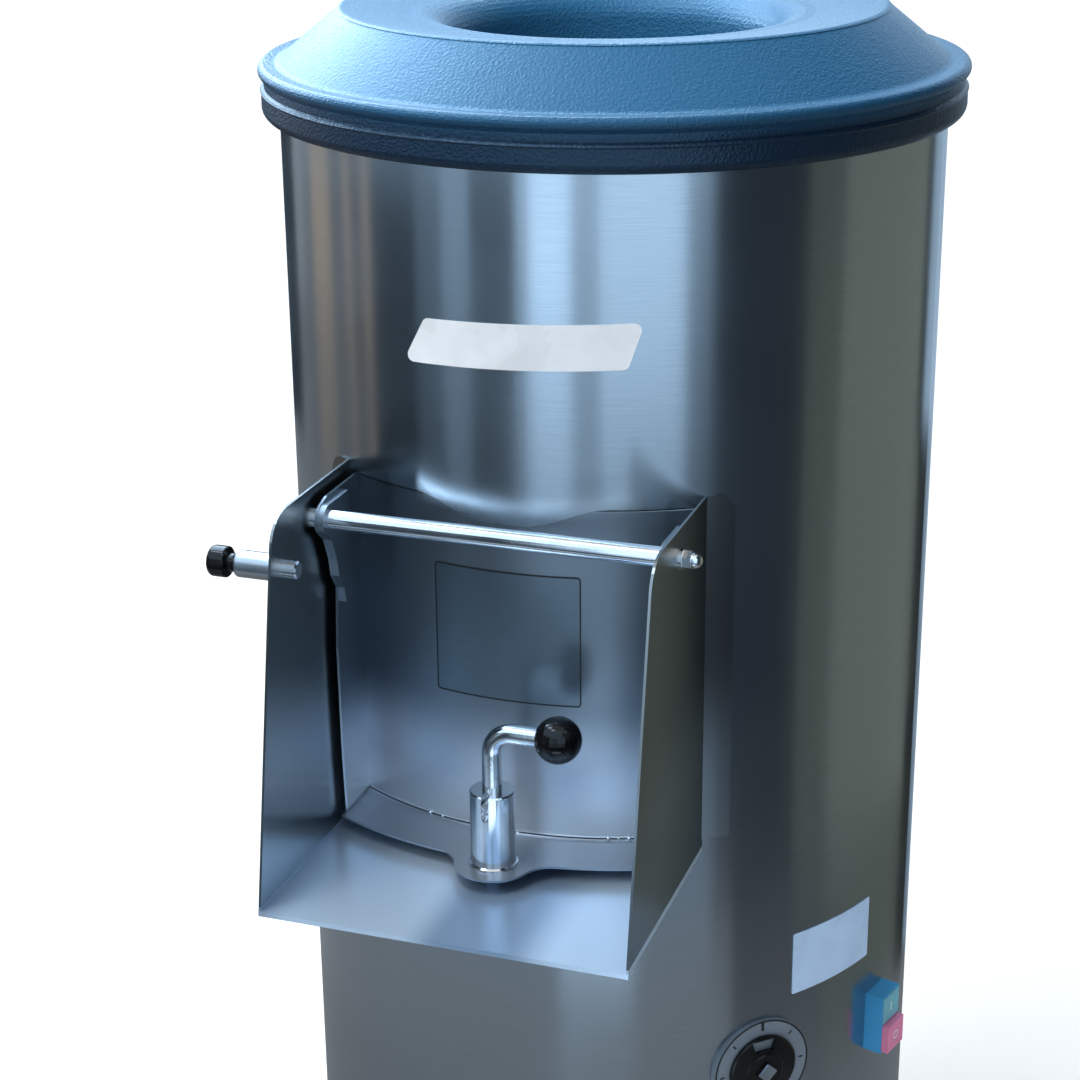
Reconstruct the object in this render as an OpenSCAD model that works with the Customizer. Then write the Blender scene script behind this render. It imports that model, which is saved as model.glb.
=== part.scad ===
// Floor-standing batch potato peeler.
// A stainless cylinder holds the abrasive chamber; a motor below drives the peeling disc by a V-belt.
// Origin: on the body's axis at floor level. +Z is up, -Y is the discharge side, +X is the control side.
// All sizes are in millimetres.

/* [Body] */
// Outer diameter of the stainless body
body_d = 420; // [416:1:424]
// Thickness of the body and chute sheet
sheet_t = 1.5; // [1.2:0.1:1.6]
// Height of the lid's rim above the floor
rim_z = 985; // [975:1:1000]
// Height of the rubber base ring
base_h = 26; // [24:1:32]

/* [Lid] */
// Outer diameter of the lid's rolled rim
lid_d = 445; // [442:1:448]
// Height of the lid's crown above its rim
lid_crown = 33.5; // [31:0.5:36]
// Diameter of the feed opening
feed_d = 200; // [190:1:206]
// Wall thickness of the moulded lid
lid_t = 4; // [3.5:0.5:4]

/* [Chute] */
// Clear width between the chute cheeks
chute_w = 224; // [223:1:227]
// Reach of the chute floor from the body's axis
chute_reach = 331; // [325:1:340]
// Height of the chute floor's top face
chute_z = 532.5; // [532:0.5:533]
// Height of the top of the cheeks
cheek_z = 763.5; // [762:0.5:766]
// Distance of the hinge rod in front of the body's axis
hinge_y = 231; // [230:0.5:231]
// Height of the hinge rod
hinge_z = 744; // [743.5:0.5:744.5]
// Diameter of the hinge rod
rod_d = 12; // [10:0.5:13]

/* [Door] */
// Outer width of the door
door_w = 216; // [214:1:217]
// Gap between the door and the chute floor
door_gap = 8; // [8:0.5:9]
// Radius of the door's lower flange about the body's axis
door_flange_r = 245; // [242:1:248]
// Distance of the latch bolt in front of the body's axis
latch_y = 247; // [245:1:249]
// Offset of the latch bolt towards the control side
latch_x = 3; // [0:0.5:5]
// Diameter of the latch bolt
bolt_d = 12; // [11:0.5:12]
// Diameter of the latch housing
latch_d = 27.5; // [26:0.5:30]
// Height of the latch housing
latch_h = 48.5; // [46:0.5:52]
// Diameter of the ball knob
ball_d = 28.5; // [26:0.5:32]

/* [Controls] */
// Height of the timer and the switch
panel_z = 364; // [355:1:370]
// Angle of the timer from the chute's centre line
timer_angle = 44.5; // [43:0.5:47]
// Diameter of the dial plate
dial_d = 69; // [66:1:72]
// Angle of the switch from the chute's centre line
switch_angle = 74.5; // [72:0.5:76]

/* [Drive] */
// Diameter of the peeling disc
disc_d = 390; // [386:1:392]
// Pitch radius of the driven pulley
driven_r = 96; // [92:1:96]
// Pitch radius of the motor pulley
motor_r = 24; // [22:1:25]
// Distance of the motor's axis behind the body's axis
motor_y = 136; // [135:1:137]

/* [Hidden] */
$fn = 96;

// Body radii
body_r = body_d / 2;
shell_r = body_r - sheet_t;
liner_r = shell_r - 1.7;
liner_t = 3;
pan_r = body_r - 11;

// Heights
shell_z = 12;
top_z = rim_z - 13;
pan_z = chute_z - 70.5;
drain_z = chute_z - 38.5;
disc_z = chute_z - 4.5;
inlet_z = rim_z - 55;
belt_z = 321;

// Openings in the shell
opening_w = door_w + 3;
opening_z = rim_z - 228;
tongue_z = rim_z - 240.5;
cover_angle = 33;
cover_z = [62, 322];

// Door
door_z = chute_z + door_gap;
door_top = hinge_z + 11;
door_r = shell_r - 0.5;
flange_x = door_w / 2;
ear_t = 4;
boss_r = 10;
stud_r = 3;
run = 0.05;

// Plunger on the left cheek
plunger_y = 273;
plunger_z = rim_z - 258;
cheek_x = chute_w / 2;
cheek_out = cheek_x + sheet_t;
nose_r = 5.5;
stem_r = 3;
sleeve_r = 8.1;
sleeve_len = 30;
sleeve_end = 4;
nose_len = 14;
nose_tip = 8;
knob_gap = 1.2;
knob_depth = 12.3;

// Latch
bolt_r = bolt_d / 2;
bolt_tip = chute_z + 0.5;
handle_z = rim_z - 356.5;
handle_x = 41.5;
bend_r = 14;
slot_w = 4.6;
slot_depth = 16;
pin_r = 2;
pin_z = door_z + sheet_t + latch_h - slot_depth + 8 + pin_r + 0.4;

// Timer
timer_z = panel_z + 3.5;
timer_r = body_r + 2.5;
spindle_r = 3;

// Switch
switch_z = panel_z - 2.5;
block_w = 24;
block_h = 42.4;
block_out = 12.6;
key_w = 22;
key_h = 19.6;
key_gap = 0.3;
key_pitch = 20.6;
stem_w = 4;
stem_hole = 4.6;

// Water inlet
shank_r = 10.4;

// Shaft and bearings
shaft_r = 12.5;
bearing_r = 26;
bearing_h = 15;
motor_body_r = 62;
rotor_r = 9.5;

// Belt
groove_w = 11;
groove_depth = 9;
groove_side = 19;
pulley_rim = 4;

// ---------- helpers ----------

// Points along an arc in the profile plane, from angle a0 to a1
function arc(cx, cy, r, a0, a1, n = 6) =
    [for (i = [0 : n]) [cx + r * cos(a0 + (a1 - a0) * i / n), cy + r * sin(a0 + (a1 - a0) * i / n)]];

// A smooth step from 0 to 1
function ease(t) = t * t * (3 - 2 * t);

// Puts a feature on the body's side: local X is along the sheet, Y is up, Z points outward
module on_side(angle, z, r = 0) {
    rotate([0, 0, angle])
        translate([0, -r, z])
            rotate([90, 0, 0])
                children();
}

// A ring of rectangular section
module ring(r_in, r_out, z0, z1) {
    translate([0, 0, z0])
        difference() {
            cylinder(r = r_out, h = z1 - z0);
            translate([0, 0, -1])
                cylinder(r = r_in, h = z1 - z0 + 2);
        }
}

// A patch of rolled sheet between two angles from the chute's centre line
module patch(r_in, r_out, a0, a1, z0, z1) {
    rotate([0, 0, a0 - 90])
        rotate_extrude(angle = a1 - a0)
            translate([r_in, z0])
                square([r_out - r_in, z1 - z0]);
}

// A rod along X
module rod_x(r, x0, x1, y, z) {
    translate([x0, y, z])
        rotate([0, 90, 0])
            cylinder(r = r, h = x1 - x0);
}

// A rod along Y
module rod_y(r, y0, y1, x, z) {
    translate([x, y1, z])
        rotate([90, 0, 0])
            cylinder(r = r, h = y1 - y0);
}

// A plate in the YZ plane, from x0, made of [y, z] points
module side_plate(points, x0, t) {
    translate([x0, 0, 0])
        rotate([90, 0, 90])
            linear_extrude(t)
                polygon(points);
}

// A pan-head screw whose head sits at local Z = 0 and whose shank goes down
module pan_screw(r = 2, head_r = 4.5, head_h = 2.6, length = 8) {
    difference() {
        union() {
            cylinder(r = head_r, h = head_h * 0.6);
            translate([0, 0, head_h * 0.6])
                cylinder(r1 = head_r, r2 = head_r * 0.7, h = head_h * 0.4, $fn = 32);
            translate([0, 0, -length])
                cylinder(r = r, h = length);
        }
        translate([-head_r, -0.6, head_h - 1])
            cube([2 * head_r, 1.2, 2]);
    }
}

// A hexagon-head bolt, head upward from local Z = 0
module hex_bolt(r, af, head_h, length) {
    cylinder(r = af / 2 / cos(30), h = head_h, $fn = 6);
    translate([0, 0, -length])
        cylinder(r = r, h = length);
}

// ---------- body ----------

// Moulded ring that the shell's lower edge stands in; its flat underside rests on the floor
module base_ring() {
    seat_gap = 0.1;
    color("#1c1d1f")
        rotate_extrude()
            polygon([[body_r - 20, 0], [body_r + 1, 0], [body_r + 3, 2], [body_r + 3, base_h - 2],
                [body_r + 1.5, base_h], [body_r + seat_gap, base_h], [body_r + seat_gap, shell_z],
                [shell_r - seat_gap, shell_z], [shell_r - seat_gap, base_h - 4], [body_r - 20, base_h - 4]]);
}

// Outline of the discharge opening, with the lip that hangs down in the middle of its top edge
module opening_outline() {
    half = opening_w / 2;
    lip_in = 12;
    lip_out = 60;
    steps = 8;
    right = [for (i = [0 : steps]) [lip_in + (lip_out - lip_in) * i / steps,
        tongue_z + (opening_z - tongue_z) * ease(i / steps)]];
    left = [for (i = [steps : -1 : 0]) [-right[i][0], right[i][1]]];
    polygon(concat([[-half, chute_z], [half, chute_z], [half, opening_z]],
        [for (i = [steps : -1 : 0]) right[i]],
        [for (i = [steps : -1 : 0]) left[i]],
        [[-half, opening_z]]));
}

module body_shell() {
    color("#a9adb0")
        difference() {
            ring(shell_r, body_r, shell_z, top_z);
            translate([0, -100, 0])
                rotate([90, 0, 0])
                    linear_extrude(150)
                        opening_outline();
            // opening behind the service cover
            patch(shell_r - 5, body_r + 5, 180 - cover_angle + 4, 180 + cover_angle - 4,
                cover_z[0] + 14, cover_z[1] - 14);
            cover_screw_places()
                translate([0, 0, -10])
                    cylinder(r = 2, h = 20);
            rod_y(25, 150, 260, 0, drain_z);
            rod_y(10.5, 150, 260, 0, inlet_z);
            on_side(timer_angle, timer_z, 190)
                cylinder(r = 5, h = 40);
            on_side(switch_angle, switch_z, 190)
                translate([-block_w / 2, -block_h / 2, 0])
                    cube([block_w, block_h, 40]);
            on_side(140, 110, 190)
                cylinder(r = 8, h = 40);
        }
}

// Angle ring that stiffens the open top edge and carries the lid
module top_ring() {
    color("#9fa3a6") {
        ring(shell_r - sheet_t, shell_r, top_z - 26, top_z);
        ring(shell_r - 10.5, shell_r, top_z - sheet_t, top_z);
    }
}

// Rolled liner coated with abrasive on its inside
module chamber_liner() {
    color("#4d4f52")
        difference() {
            ring(liner_r - liner_t, liner_r, chute_z, top_z - 30);
            translate([-opening_w / 2 - 1, -body_r - 10, chute_z - 1])
                cube([opening_w + 2, 120, opening_z + 10 - chute_z]);
            rod_y(10.5, 150, 260, 0, inlet_z);
        }
}

// Cast pan that closes the chamber below the disc, with a drain at the back and ribs below
module chamber_pan() {
    floor_t = 8;
    rib_h = 14;
    color("#b4b6b8")
        difference() {
            union() {
                rotate_extrude()
                    polygon([[14, pan_z], [shell_r, pan_z], [shell_r, chute_z], [pan_r + 3, chute_z],
                        [pan_r, chute_z - 4], [pan_r - 2, pan_z + floor_t + 4], [pan_r - 6, pan_z + floor_t],
                        [50, pan_z + floor_t], [34, pan_z + 32], [30, pan_z + 36], [14, pan_z + 36]]);
                for (a = [30 : 60 : 330])
                    rotate([0, 0, a])
                        translate([76, -3, pan_z - rib_h])
                            cube([116, 6, rib_h + 1]);
            }
            rod_y(25, 150, 260, 0, drain_z);
        }
}

module bearing_housing() {
    flange_t = 12;
    color("#6f7479")
        difference() {
            union() {
                translate([0, 0, pan_z - flange_t])
                    cylinder(r = 72, h = flange_t);
                translate([0, 0, pan_z - 117])
                    cylinder(r = 40, h = 110);
                for (a = [0 : 90 : 270])
                    rotate([0, 0, a])
                        translate([0, -4, pan_z - flange_t])
                            rotate([-90, 0, 0])
                                linear_extrude(8)
                                    polygon([[38, 0], [66, 0], [38, 60]]);
            }
            translate([0, 0, pan_z - 110])
                cylinder(r = bearing_r, h = 120);
            translate([0, 0, pan_z - 120])
                cylinder(r = 20, h = 20);
            housing_bolt_places()
                translate([0, 0, -20])
                    cylinder(r = 4, h = 30);
        }
}

module housing_bolt_places() {
    for (a = [45 : 90 : 315])
        rotate([0, 0, a])
            translate([58, 0, pan_z - 12])
                rotate([180, 0, 0])
                    children();
}

module housing_bolts() {
    color("#c9ccce")
        housing_bolt_places()
            hex_bolt(4, 13, 5.3, 12);
}

// One deep-groove bearing, as its outer ring, inner ring and the shield between them
module bearing(z) {
    color("#8d9296")
        translate([0, 0, z])
            rotate_extrude()
                polygon([[shaft_r + run, 0], [shaft_r + 4, 0], [shaft_r + 4.3, 0.8], [bearing_r - 4.3, 0.8],
                    [bearing_r - 4, 0], [bearing_r, 0], [bearing_r, bearing_h], [bearing_r - 4, bearing_h],
                    [bearing_r - 4.3, bearing_h - 0.8], [shaft_r + 4.3, bearing_h - 0.8],
                    [shaft_r + 4, bearing_h], [shaft_r + run, bearing_h]]);
}

module upper_bearing() {
    bearing(pan_z - 32);
}

module lower_bearing() {
    bearing(pan_z - 110);
}

// Lip seal above the upper bearing
module shaft_seal() {
    color("#2a2623")
        translate([0, 0, pan_z - 10])
            rotate_extrude()
                polygon([[shaft_r + 0.1, 3], [shaft_r + 4, 0], [bearing_r, 0], [bearing_r, 8],
                    [shaft_r + 6, 8], [shaft_r + 5, 4]]);
}

// Plate across the inside of the shell; the motor hangs from it
module motor_plate() {
    plate_z = 296;
    plate_t = 6;
    front_y = 62;
    color("#7d8286")
        difference() {
            intersection() {
                cylinder(r = shell_r, h = 400);
                union() {
                    translate([-shell_r, front_y, plate_z])
                        cube([2 * shell_r, shell_r, plate_t]);
                    translate([-shell_r, front_y, plate_z - 26])
                        cube([2 * shell_r, 4, 28]);
                }
            }
            translate([0, motor_y, plate_z - 1])
                cylinder(r = 22, h = plate_t + 2);
            for (a = [45 : 90 : 315])
                translate([0, motor_y, plate_z - 1])
                    rotate([0, 0, a])
                        translate([52, 0, 0])
                            cylinder(r = 3.5, h = plate_t + 2);
        }
}

// Finned motor frame with its two end bells
module motor_housing() {
    fins = 28;
    color("#3c4650")
        translate([0, motor_y, 0])
            difference() {
                union() {
                    translate([0, 0, 110])
                        cylinder(r = motor_body_r - 5, h = 172);
                    for (i = [0 : fins - 1])
                        rotate([0, 0, 360 / fins * (i + 0.5)])
                            translate([motor_body_r - 6, -1.2, 116])
                                cube([6, 2.4, 160]);
                    rotate_extrude()
                        polygon([[0, 92], [48, 92], [60, 98], [63, 104], [63, 114], [0, 114]]);
                    rotate_extrude()
                        polygon([[0, 278], [63, 278], [63, 288], [60, 292], [60, 296], [0, 296]]);
                }
                translate([0, 0, 262])
                    cylinder(r = rotor_r + run, h = 50);
                for (a = [45 : 90 : 315])
                    rotate([0, 0, a])
                        translate([52, 0, 284])
                            cylinder(r = 3.5, h = 20);
            }
}

// Terminal box on the motor's side
module terminal_box() {
    color("#3c4650")
        difference() {
            translate([-26, 52, 160])
                cube([52, 24, 80]);
            translate([0, motor_y, 100])
                cylinder(r = motor_body_r + 0.02, h = 200);
        }
}

// ---------- belt drive ----------

// A pulley's outline: hub, web and V-grooved rim
module pulley(pitch_r, bore_r, hub_r, web_t) {
    rim_r = pitch_r + pulley_rim;
    half = groove_w / 2;
    foot = half - groove_depth * tan(groove_side);
    rim_h = 18;
    rim_in = rim_r - groove_depth - 6;
    rim_profile = [[rim_r, -rim_h / 2], [rim_r, -half], [rim_r - groove_depth, -foot],
        [rim_r - groove_depth, foot], [rim_r, half], [rim_r, rim_h / 2]];
    web_profile = web_t > 0
        ? [[rim_in, rim_h / 2], [rim_in - 1, web_t / 2], [hub_r + 1, web_t / 2], [hub_r, rim_h / 2 + 4],
            [bore_r, rim_h / 2 + 4], [bore_r, -rim_h / 2], [hub_r, -rim_h / 2], [hub_r + 1, -web_t / 2],
            [rim_in - 1, -web_t / 2], [rim_in, -rim_h / 2]]
        : [[bore_r, rim_h / 2], [bore_r, -rim_h / 2]];
    translate([0, 0, belt_z])
        rotate_extrude()
            polygon(concat(rim_profile, web_profile));
}

// The belt's section, centred on its pitch line; it keeps clear of the groove's walls
function belt_section() =
    let (top = groove_w / 2 - tan(groove_side) - 0.35, depth = 7)
        [[pulley_rim - 1, -top], [pulley_rim - 1, top],
            [pulley_rim - 1 - depth, top - depth * tan(groove_side)],
            [pulley_rim - 1 - depth, depth * tan(groove_side) - top]];

module drive_belt() {
    lean = asin((driven_r - motor_r) / motor_y);
    span = motor_y * cos(lean);
    big_turn = 180 + 2 * lean;
    small_turn = 180 - 2 * lean;
    color("#1f1f20")
        translate([0, 0, belt_z]) {
            rotate([0, 0, 180 - lean])
                rotate_extrude(angle = big_turn)
                    translate([driven_r, 0])
                        polygon(belt_section());
            translate([0, motor_y, 0])
                rotate([0, 0, lean])
                    rotate_extrude(angle = small_turn)
                        translate([motor_r, 0])
                            polygon(belt_section());
            for (side = [0, 1])
                mirror([side, 0, 0])
                    rotate([0, 0, lean])
                        translate([driven_r, 0, 0])
                            rotate([-90, 0, 0])
                                linear_extrude(span)
                                    polygon(belt_section());
        }
}

module driven_pulley() {
    color("#5a5f63")
        pulley(driven_r, shaft_r, 26, 7);
}

module motor_pulley() {
    color("#5a5f63")
        translate([0, motor_y, 0])
            pulley(motor_r, rotor_r, 0, 0);
}

module motor_shaft() {
    color("#a9adb0")
        translate([0, motor_y, 264])
            cylinder(r = rotor_r, h = 72);
}

module drive_shaft() {
    color("#a9adb0") {
        translate([0, 0, 306])
            cylinder(r = shaft_r, h = disc_z - 306);
        translate([0, 0, disc_z - 1])
            cylinder(r = 8, h = 19);
    }
}

// ---------- water and cable ----------

// Waste outlet: out of the pan's side and down, ready for a hose
module drain_spout() {
    tube_r = 25;
    bore_r = 22;
    bend = 42;
    run_y = 250;
    leg = 50;
    color("#9fa3a6") {
        difference() {
            union() {
                rod_y(tube_r, 192, run_y, 0, drain_z);
                difference() {
                    rod_y(36, 200, 213, 0, drain_z);
                    translate([0, 0, drain_z - 50])
                        cylinder(r = body_r, h = 100);
                }
            }
            rod_y(bore_r, 190, run_y + 1, 0, drain_z);
        }
        translate([0, run_y, drain_z - bend])
            rotate([90, 0, 90])
                rotate_extrude(angle = 90)
                    translate([bend, 0])
                        difference() {
                            circle(r = tube_r);
                            circle(r = bore_r);
                        }
        translate([0, run_y + bend, drain_z - bend - leg])
            difference() {
                cylinder(r = tube_r, h = leg);
                translate([0, 0, -1])
                    cylinder(r = bore_r, h = leg + 2);
            }
    }
}

// Water inlet: a threaded stub outside and a nozzle that sprays down inside.
// A groove ends the thread in front of the nut.
module water_inlet() {
    stub_r = 10.48;
    groove_r = 9.3;
    bore_r = 6;
    color("#c2a45a")
        difference() {
            union() {
                rod_y(shank_r, 192, 222.5, 0, inlet_z);
                rod_y(groove_r, 222, 225, 0, inlet_z);
                rod_y(stub_r, 224.5, 247, 0, inlet_z);
                translate([0, 192, inlet_z])
                    sphere(r = shank_r);
                translate([0, 192, inlet_z - 26])
                    cylinder(r = 8, h = 26);
            }
            rod_y(bore_r, 192, 248, 0, inlet_z);
            translate([0, 192, inlet_z - 27])
                cylinder(r = 5, h = 27);
        }
}

module inlet_nut() {
    color("#c2a45a")
        difference() {
            union() {
                rod_y(17, 207.5, 213, 0, inlet_z);
                translate([0, 222, inlet_z])
                    rotate([90, 0, 0])
                        cylinder(r = 16, h = 9, $fn = 6);
            }
            translate([0, 0, inlet_z - 40])
                cylinder(r = body_r, h = 80, $fn = 360);
            rod_y(shank_r, 200, 230, 0, inlet_z);
        }
}

// Gland for the supply lead, low on the back
module cable_gland() {
    color("#232427")
        on_side(140, 110, body_r - 9)
            difference() {
                union() {
                    cylinder(r = 8, h = 14);
                    translate([0, 0, 9.3])
                        cylinder(r = 13, h = 7, $fn = 6);
                    translate([0, 0, 16.3])
                        cylinder(r1 = 11, r2 = 7.5, h = 11);
                    translate([0, 0, 1])
                        cylinder(r = 12, h = 6, $fn = 6);
                }
                translate([0, 0, -1])
                    cylinder(r = 4.5, h = 40);
            }
}

// ---------- service cover ----------

module cover_screw_places() {
    for (a = [180 - cover_angle + 2, 180 + cover_angle - 2])
        for (z = [cover_z[0] + 10, (cover_z[0] + cover_z[1]) / 2, cover_z[1] - 10])
            on_side(a, z, body_r + 1.2)
                children();
}

// Curved cover over the motor, with hooded louvres for its cooling air
module rear_cover() {
    louvre_w = 56;
    louvre_h = 5;
    columns = [165, 195];
    rows = 7;
    pitch = 22;
    first = cover_z[0] + 60;
    color("#a3a7aa") {
        difference() {
            patch(body_r, body_r + 1.2, 180 - cover_angle, 180 + cover_angle, cover_z[0], cover_z[1]);
            for (a = columns)
                for (i = [0 : rows - 1])
                    on_side(a, first + i * pitch, body_r - 10)
                        translate([-louvre_w / 2, 0, 0])
                            cube([louvre_w, louvre_h, 20]);
            cover_screw_places()
                translate([0, 0, -10])
                    cylinder(r = 2, h = 20);
        }
        for (a = columns)
            for (i = [0 : rows - 1])
                on_side(a, first + i * pitch, body_r)
                    translate([-louvre_w / 2 - 1, 0, 0])
                        rotate([90, 0, 90])
                            linear_extrude(louvre_w + 2)
                                polygon([[louvre_h - 0.2, -2], [louvre_h + 2.2, -2], [louvre_h + 2.2, 1.2],
                                    [louvre_h - 3.5, 5], [louvre_h - 4.3, 4.2], [louvre_h - 0.2, 1]]);
    }
}

module cover_screws() {
    color("#c9ccce")
        cover_screw_places()
            pan_screw(length = 6);
}

// ---------- chute ----------

// Outline of one cheek in [y, z]: the front edge leans back from the floor into a rounded top corner
function cheek_outline() =
    let (bottom = chute_z - sheet_t, lean = 10.5, corner_r = 22, back = -150,
        corner_z = cheek_z - corner_r,
        corner_y = (corner_z - bottom) * tan(lean) + corner_r / cos(lean) - chute_reach)
        concat([[back, bottom], [-chute_reach, bottom]],
            arc(corner_y, corner_z, corner_r, 180 - lean, 90, 8),
            [[back, cheek_z]]);

// Flange that fixes one cheek to the body, with its top outer corner rounded
module cheek_flange() {
    inner = asin((cheek_x + sheet_t / 2) / body_r);
    outer = 37.3;
    corner = 12;
    low = chute_z + 8;
    difference() {
        patch(body_r, body_r + sheet_t, inner, outer, low, cheek_z);
        on_side(outer, cheek_z, body_r - 10)
            difference() {
                translate([-corner, -corner, 0])
                    cube([2 * corner, 2 * corner, 20]);
                translate([-corner, -corner, -1])
                    cylinder(r = corner, h = 22);
                translate([-corner - 1, -corner - 1, -1])
                    cube([1, 2 * corner + 2, 22]);
            }
    }
}

module chute() {
    hem = 9;
    bolt_play = 0.8;
    color("#a3a7aa") {
        difference() {
            union() {
                for (side = [0, 1])
                    mirror([side, 0, 0])
                        side_plate(cheek_outline(), cheek_x, sheet_t);
                translate([-cheek_out, -chute_reach, chute_z - sheet_t])
                    cube([2 * cheek_out, chute_reach - 150, sheet_t]);
                translate([-cheek_out, -chute_reach, chute_z - 2 * sheet_t])
                    cube([2 * cheek_out, hem, sheet_t]);
            }
            translate([0, 0, 500])
                cylinder(r = body_r, h = 300);
            rod_x(stud_r, -200, 200, -hinge_y, hinge_z);
            rod_x(nose_r + run, -200, -100, -plunger_y, plunger_z);
            translate([latch_x, -latch_y, chute_z - 10])
                cylinder(r = bolt_r + bolt_play, h = 20);
        }
        for (side = [0, 1])
            mirror([side, 0, 0])
                cheek_flange();
    }
}

// Hinge rod between the cheeks, with a thinner threaded stud through each cheek
module hinge_rod() {
    stud_x = cheek_x + 9;
    color("#c9ccce") {
        rod_x(rod_d / 2, -cheek_x, cheek_x, -hinge_y, hinge_z);
        rod_x(stud_r, -stud_x, stud_x, -hinge_y, hinge_z);
    }
}

// A washer and a domed nut on each stud of the hinge rod
module hinge_nuts() {
    washer_r = 6.2;
    washer_t = 1.2;
    hex_r = 5.77;
    hex_h = 5;
    dome_r = 4.7;
    dome_z = 7.5;
    color("#c9ccce")
        for (side = [0, 1])
            mirror([side, 0, 0])
                translate([cheek_out, -hinge_y, hinge_z])
                    rotate([0, 90, 0])
                        difference() {
                            union() {
                                cylinder(r = washer_r, h = washer_t);
                                translate([0, 0, washer_t])
                                    cylinder(r = hex_r, h = hex_h, $fn = 6);
                                translate([0, 0, washer_t])
                                    cylinder(r = dome_r, h = dome_z - washer_t);
                                translate([0, 0, dome_z])
                                    sphere(r = dome_r);
                            }
                            translate([0, 0, -1])
                                cylinder(r = stud_r, h = 1 + 9 - sheet_t);
                        }
}

// ---------- plunger ----------

module plunger_sleeve() {
    color("#b9bcbf")
        translate([-cheek_out, -plunger_y, plunger_z])
            rotate([0, -90, 0])
                rotate_extrude()
                    polygon(concat([[nose_r + run, 0], [sleeve_r, 0]],
                        arc(sleeve_r - 2.5, sleeve_len - 2.5, 2.5, 0, 90, 5),
                        [[stem_r + run, sleeve_len], [stem_r + run, sleeve_len - sleeve_end],
                            [nose_r + run, sleeve_len - sleeve_end]]));
}

module plunger_pin() {
    length = nose_tip + sheet_t + sleeve_len + knob_gap + knob_depth;
    color("#c9ccce")
        translate([-cheek_x + nose_tip, -plunger_y, plunger_z])
            rotate([0, -90, 0])
                rotate_extrude()
                    polygon([[0, 0], [nose_r - 1, 0], [nose_r, 1], [nose_r, nose_len], [stem_r, nose_len],
                        [stem_r, length], [0, length]]);
}

// Round grip with a narrower collar towards the sleeve
module plunger_knob() {
    collar_r = 5.5;
    collar_h = 3.4;
    grip_r = 9.3;
    end_z = 16;
    color("#141516")
        translate([-cheek_out - sleeve_len - knob_gap, -plunger_y, plunger_z])
            rotate([0, -90, 0])
                rotate_extrude()
                    polygon(concat([[stem_r, 0], [collar_r, 0], [collar_r, collar_h]],
                        arc(grip_r - 1.2, collar_h + 1.8, 1.2, -90, 0, 3),
                        [[grip_r, end_z - 5]],
                        arc(grip_r - 3.2, end_z - 3.6, 3.2, 0, 80, 5),
                        [[0, end_z], [0, knob_depth], [stem_r, knob_depth]]));
}

// Level slice through a helical wire: a crescent that a twisted extrusion turns into a round-wire coil
function coil_slice(coil_r, wire_r, pitch, steps = 4) =
    concat(
        [for (i = [-steps : steps])
            let (t = i / steps, a = t * 360 * wire_r / pitch, w = wire_r * sqrt(1 - t * t))
                [(coil_r + w) * cos(a), (coil_r + w) * sin(a)]],
        [for (i = [steps - 1 : -1 : 1 - steps])
            let (t = i / steps, a = t * 360 * wire_r / pitch, w = wire_r * sqrt(1 - t * t))
                [(coil_r - w) * cos(a), (coil_r - w) * sin(a)]]);

// Helical spring between the pin's shoulder and the sleeve's end wall
module plunger_spring() {
    turns = 6;
    gap = 0.2;
    start = cheek_x - nose_tip + nose_len + gap;
    length = cheek_out + sleeve_len - sleeve_end - gap - start;
    color("#c9ccce")
        translate([-start, -plunger_y, plunger_z])
            rotate([0, -90, 0])
                linear_extrude(length, twist = -360 * turns, slices = 12 * turns, $fn = 8)
                    polygon(coil_slice(4.25, 0.6, length / turns));
}

// ---------- timer ----------

module timer_body() {
    color("#d8d4c6")
        on_side(timer_angle, timer_z, shell_r - 50)
            difference() {
                union() {
                    translate([-24, -24, 0])
                        cube([48, 48, 46.5]);
                    translate([0, 0, 40])
                        cylinder(r = 5, h = 12.4);
                }
                translate([0, 0, 30])
                    cylinder(r = spindle_r + run, h = 30);
            }
}

// Round dial plate; its back is hollowed to sit on the curved body
module dial_plate() {
    color("#8f9396")
        difference() {
            on_side(timer_angle, timer_z, shell_r - 2)
                cylinder(r = dial_d / 2, h = timer_r - shell_r + 2);
            cylinder(r = body_r, h = 600, $fn = 360);
            on_side(timer_angle, timer_z, shell_r - 10)
                cylinder(r = 5, h = 40);
        }
}

module timer_spindle() {
    color("#a9adb0")
        on_side(timer_angle, timer_z, shell_r - 18)
            cylinder(r = spindle_r, h = 26);
}

// Flat knob with a skirt; a window in the skirt frames the dial's marks and a square boss tops the grip
module timer_knob() {
    skirt_r = 24;
    grip_r = 12.4;
    top = 5.5;
    boss = 10.8;
    boss_h = 1.5;
    spindle_in = 5.5;
    color("#141516")
        on_side(timer_angle, timer_z, timer_r + 0.5)
            difference() {
                union() {
                    rotate_extrude()
                        polygon([[0, 0], [skirt_r, 0], [skirt_r, 1.6], [skirt_r - 1.2, 2.6],
                            [grip_r + 1.2, 3.6], [grip_r, 4.2], [grip_r - 0.6, top], [0, top]]);
                    rotate([0, 0, 45])
                        translate([-boss / 2, -boss / 2, top - 0.5])
                            cube([boss, boss, boss_h + 0.5]);
                }
                translate([0, 0, -1])
                    linear_extrude(10)
                        polygon([[-6.6, 13.4], [6.6, 13.4], [9, 21.8], [-9, 21.8]]);
                translate([0, 0, -1])
                    cylinder(r = spindle_r, h = spindle_in + 1);
            }
}

// ---------- switch ----------

module key_places() {
    translate([0, key_pitch / 2, 0])
        children(0);
    translate([0, -key_pitch / 2, 0])
        children(1);
}

module key_pocket(depth) {
    translate([-key_w / 2 - key_gap, -key_h / 2 - key_gap, block_out - depth])
        cube([key_w + 2 * key_gap, key_h + 2 * key_gap, depth + 1]);
}

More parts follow.
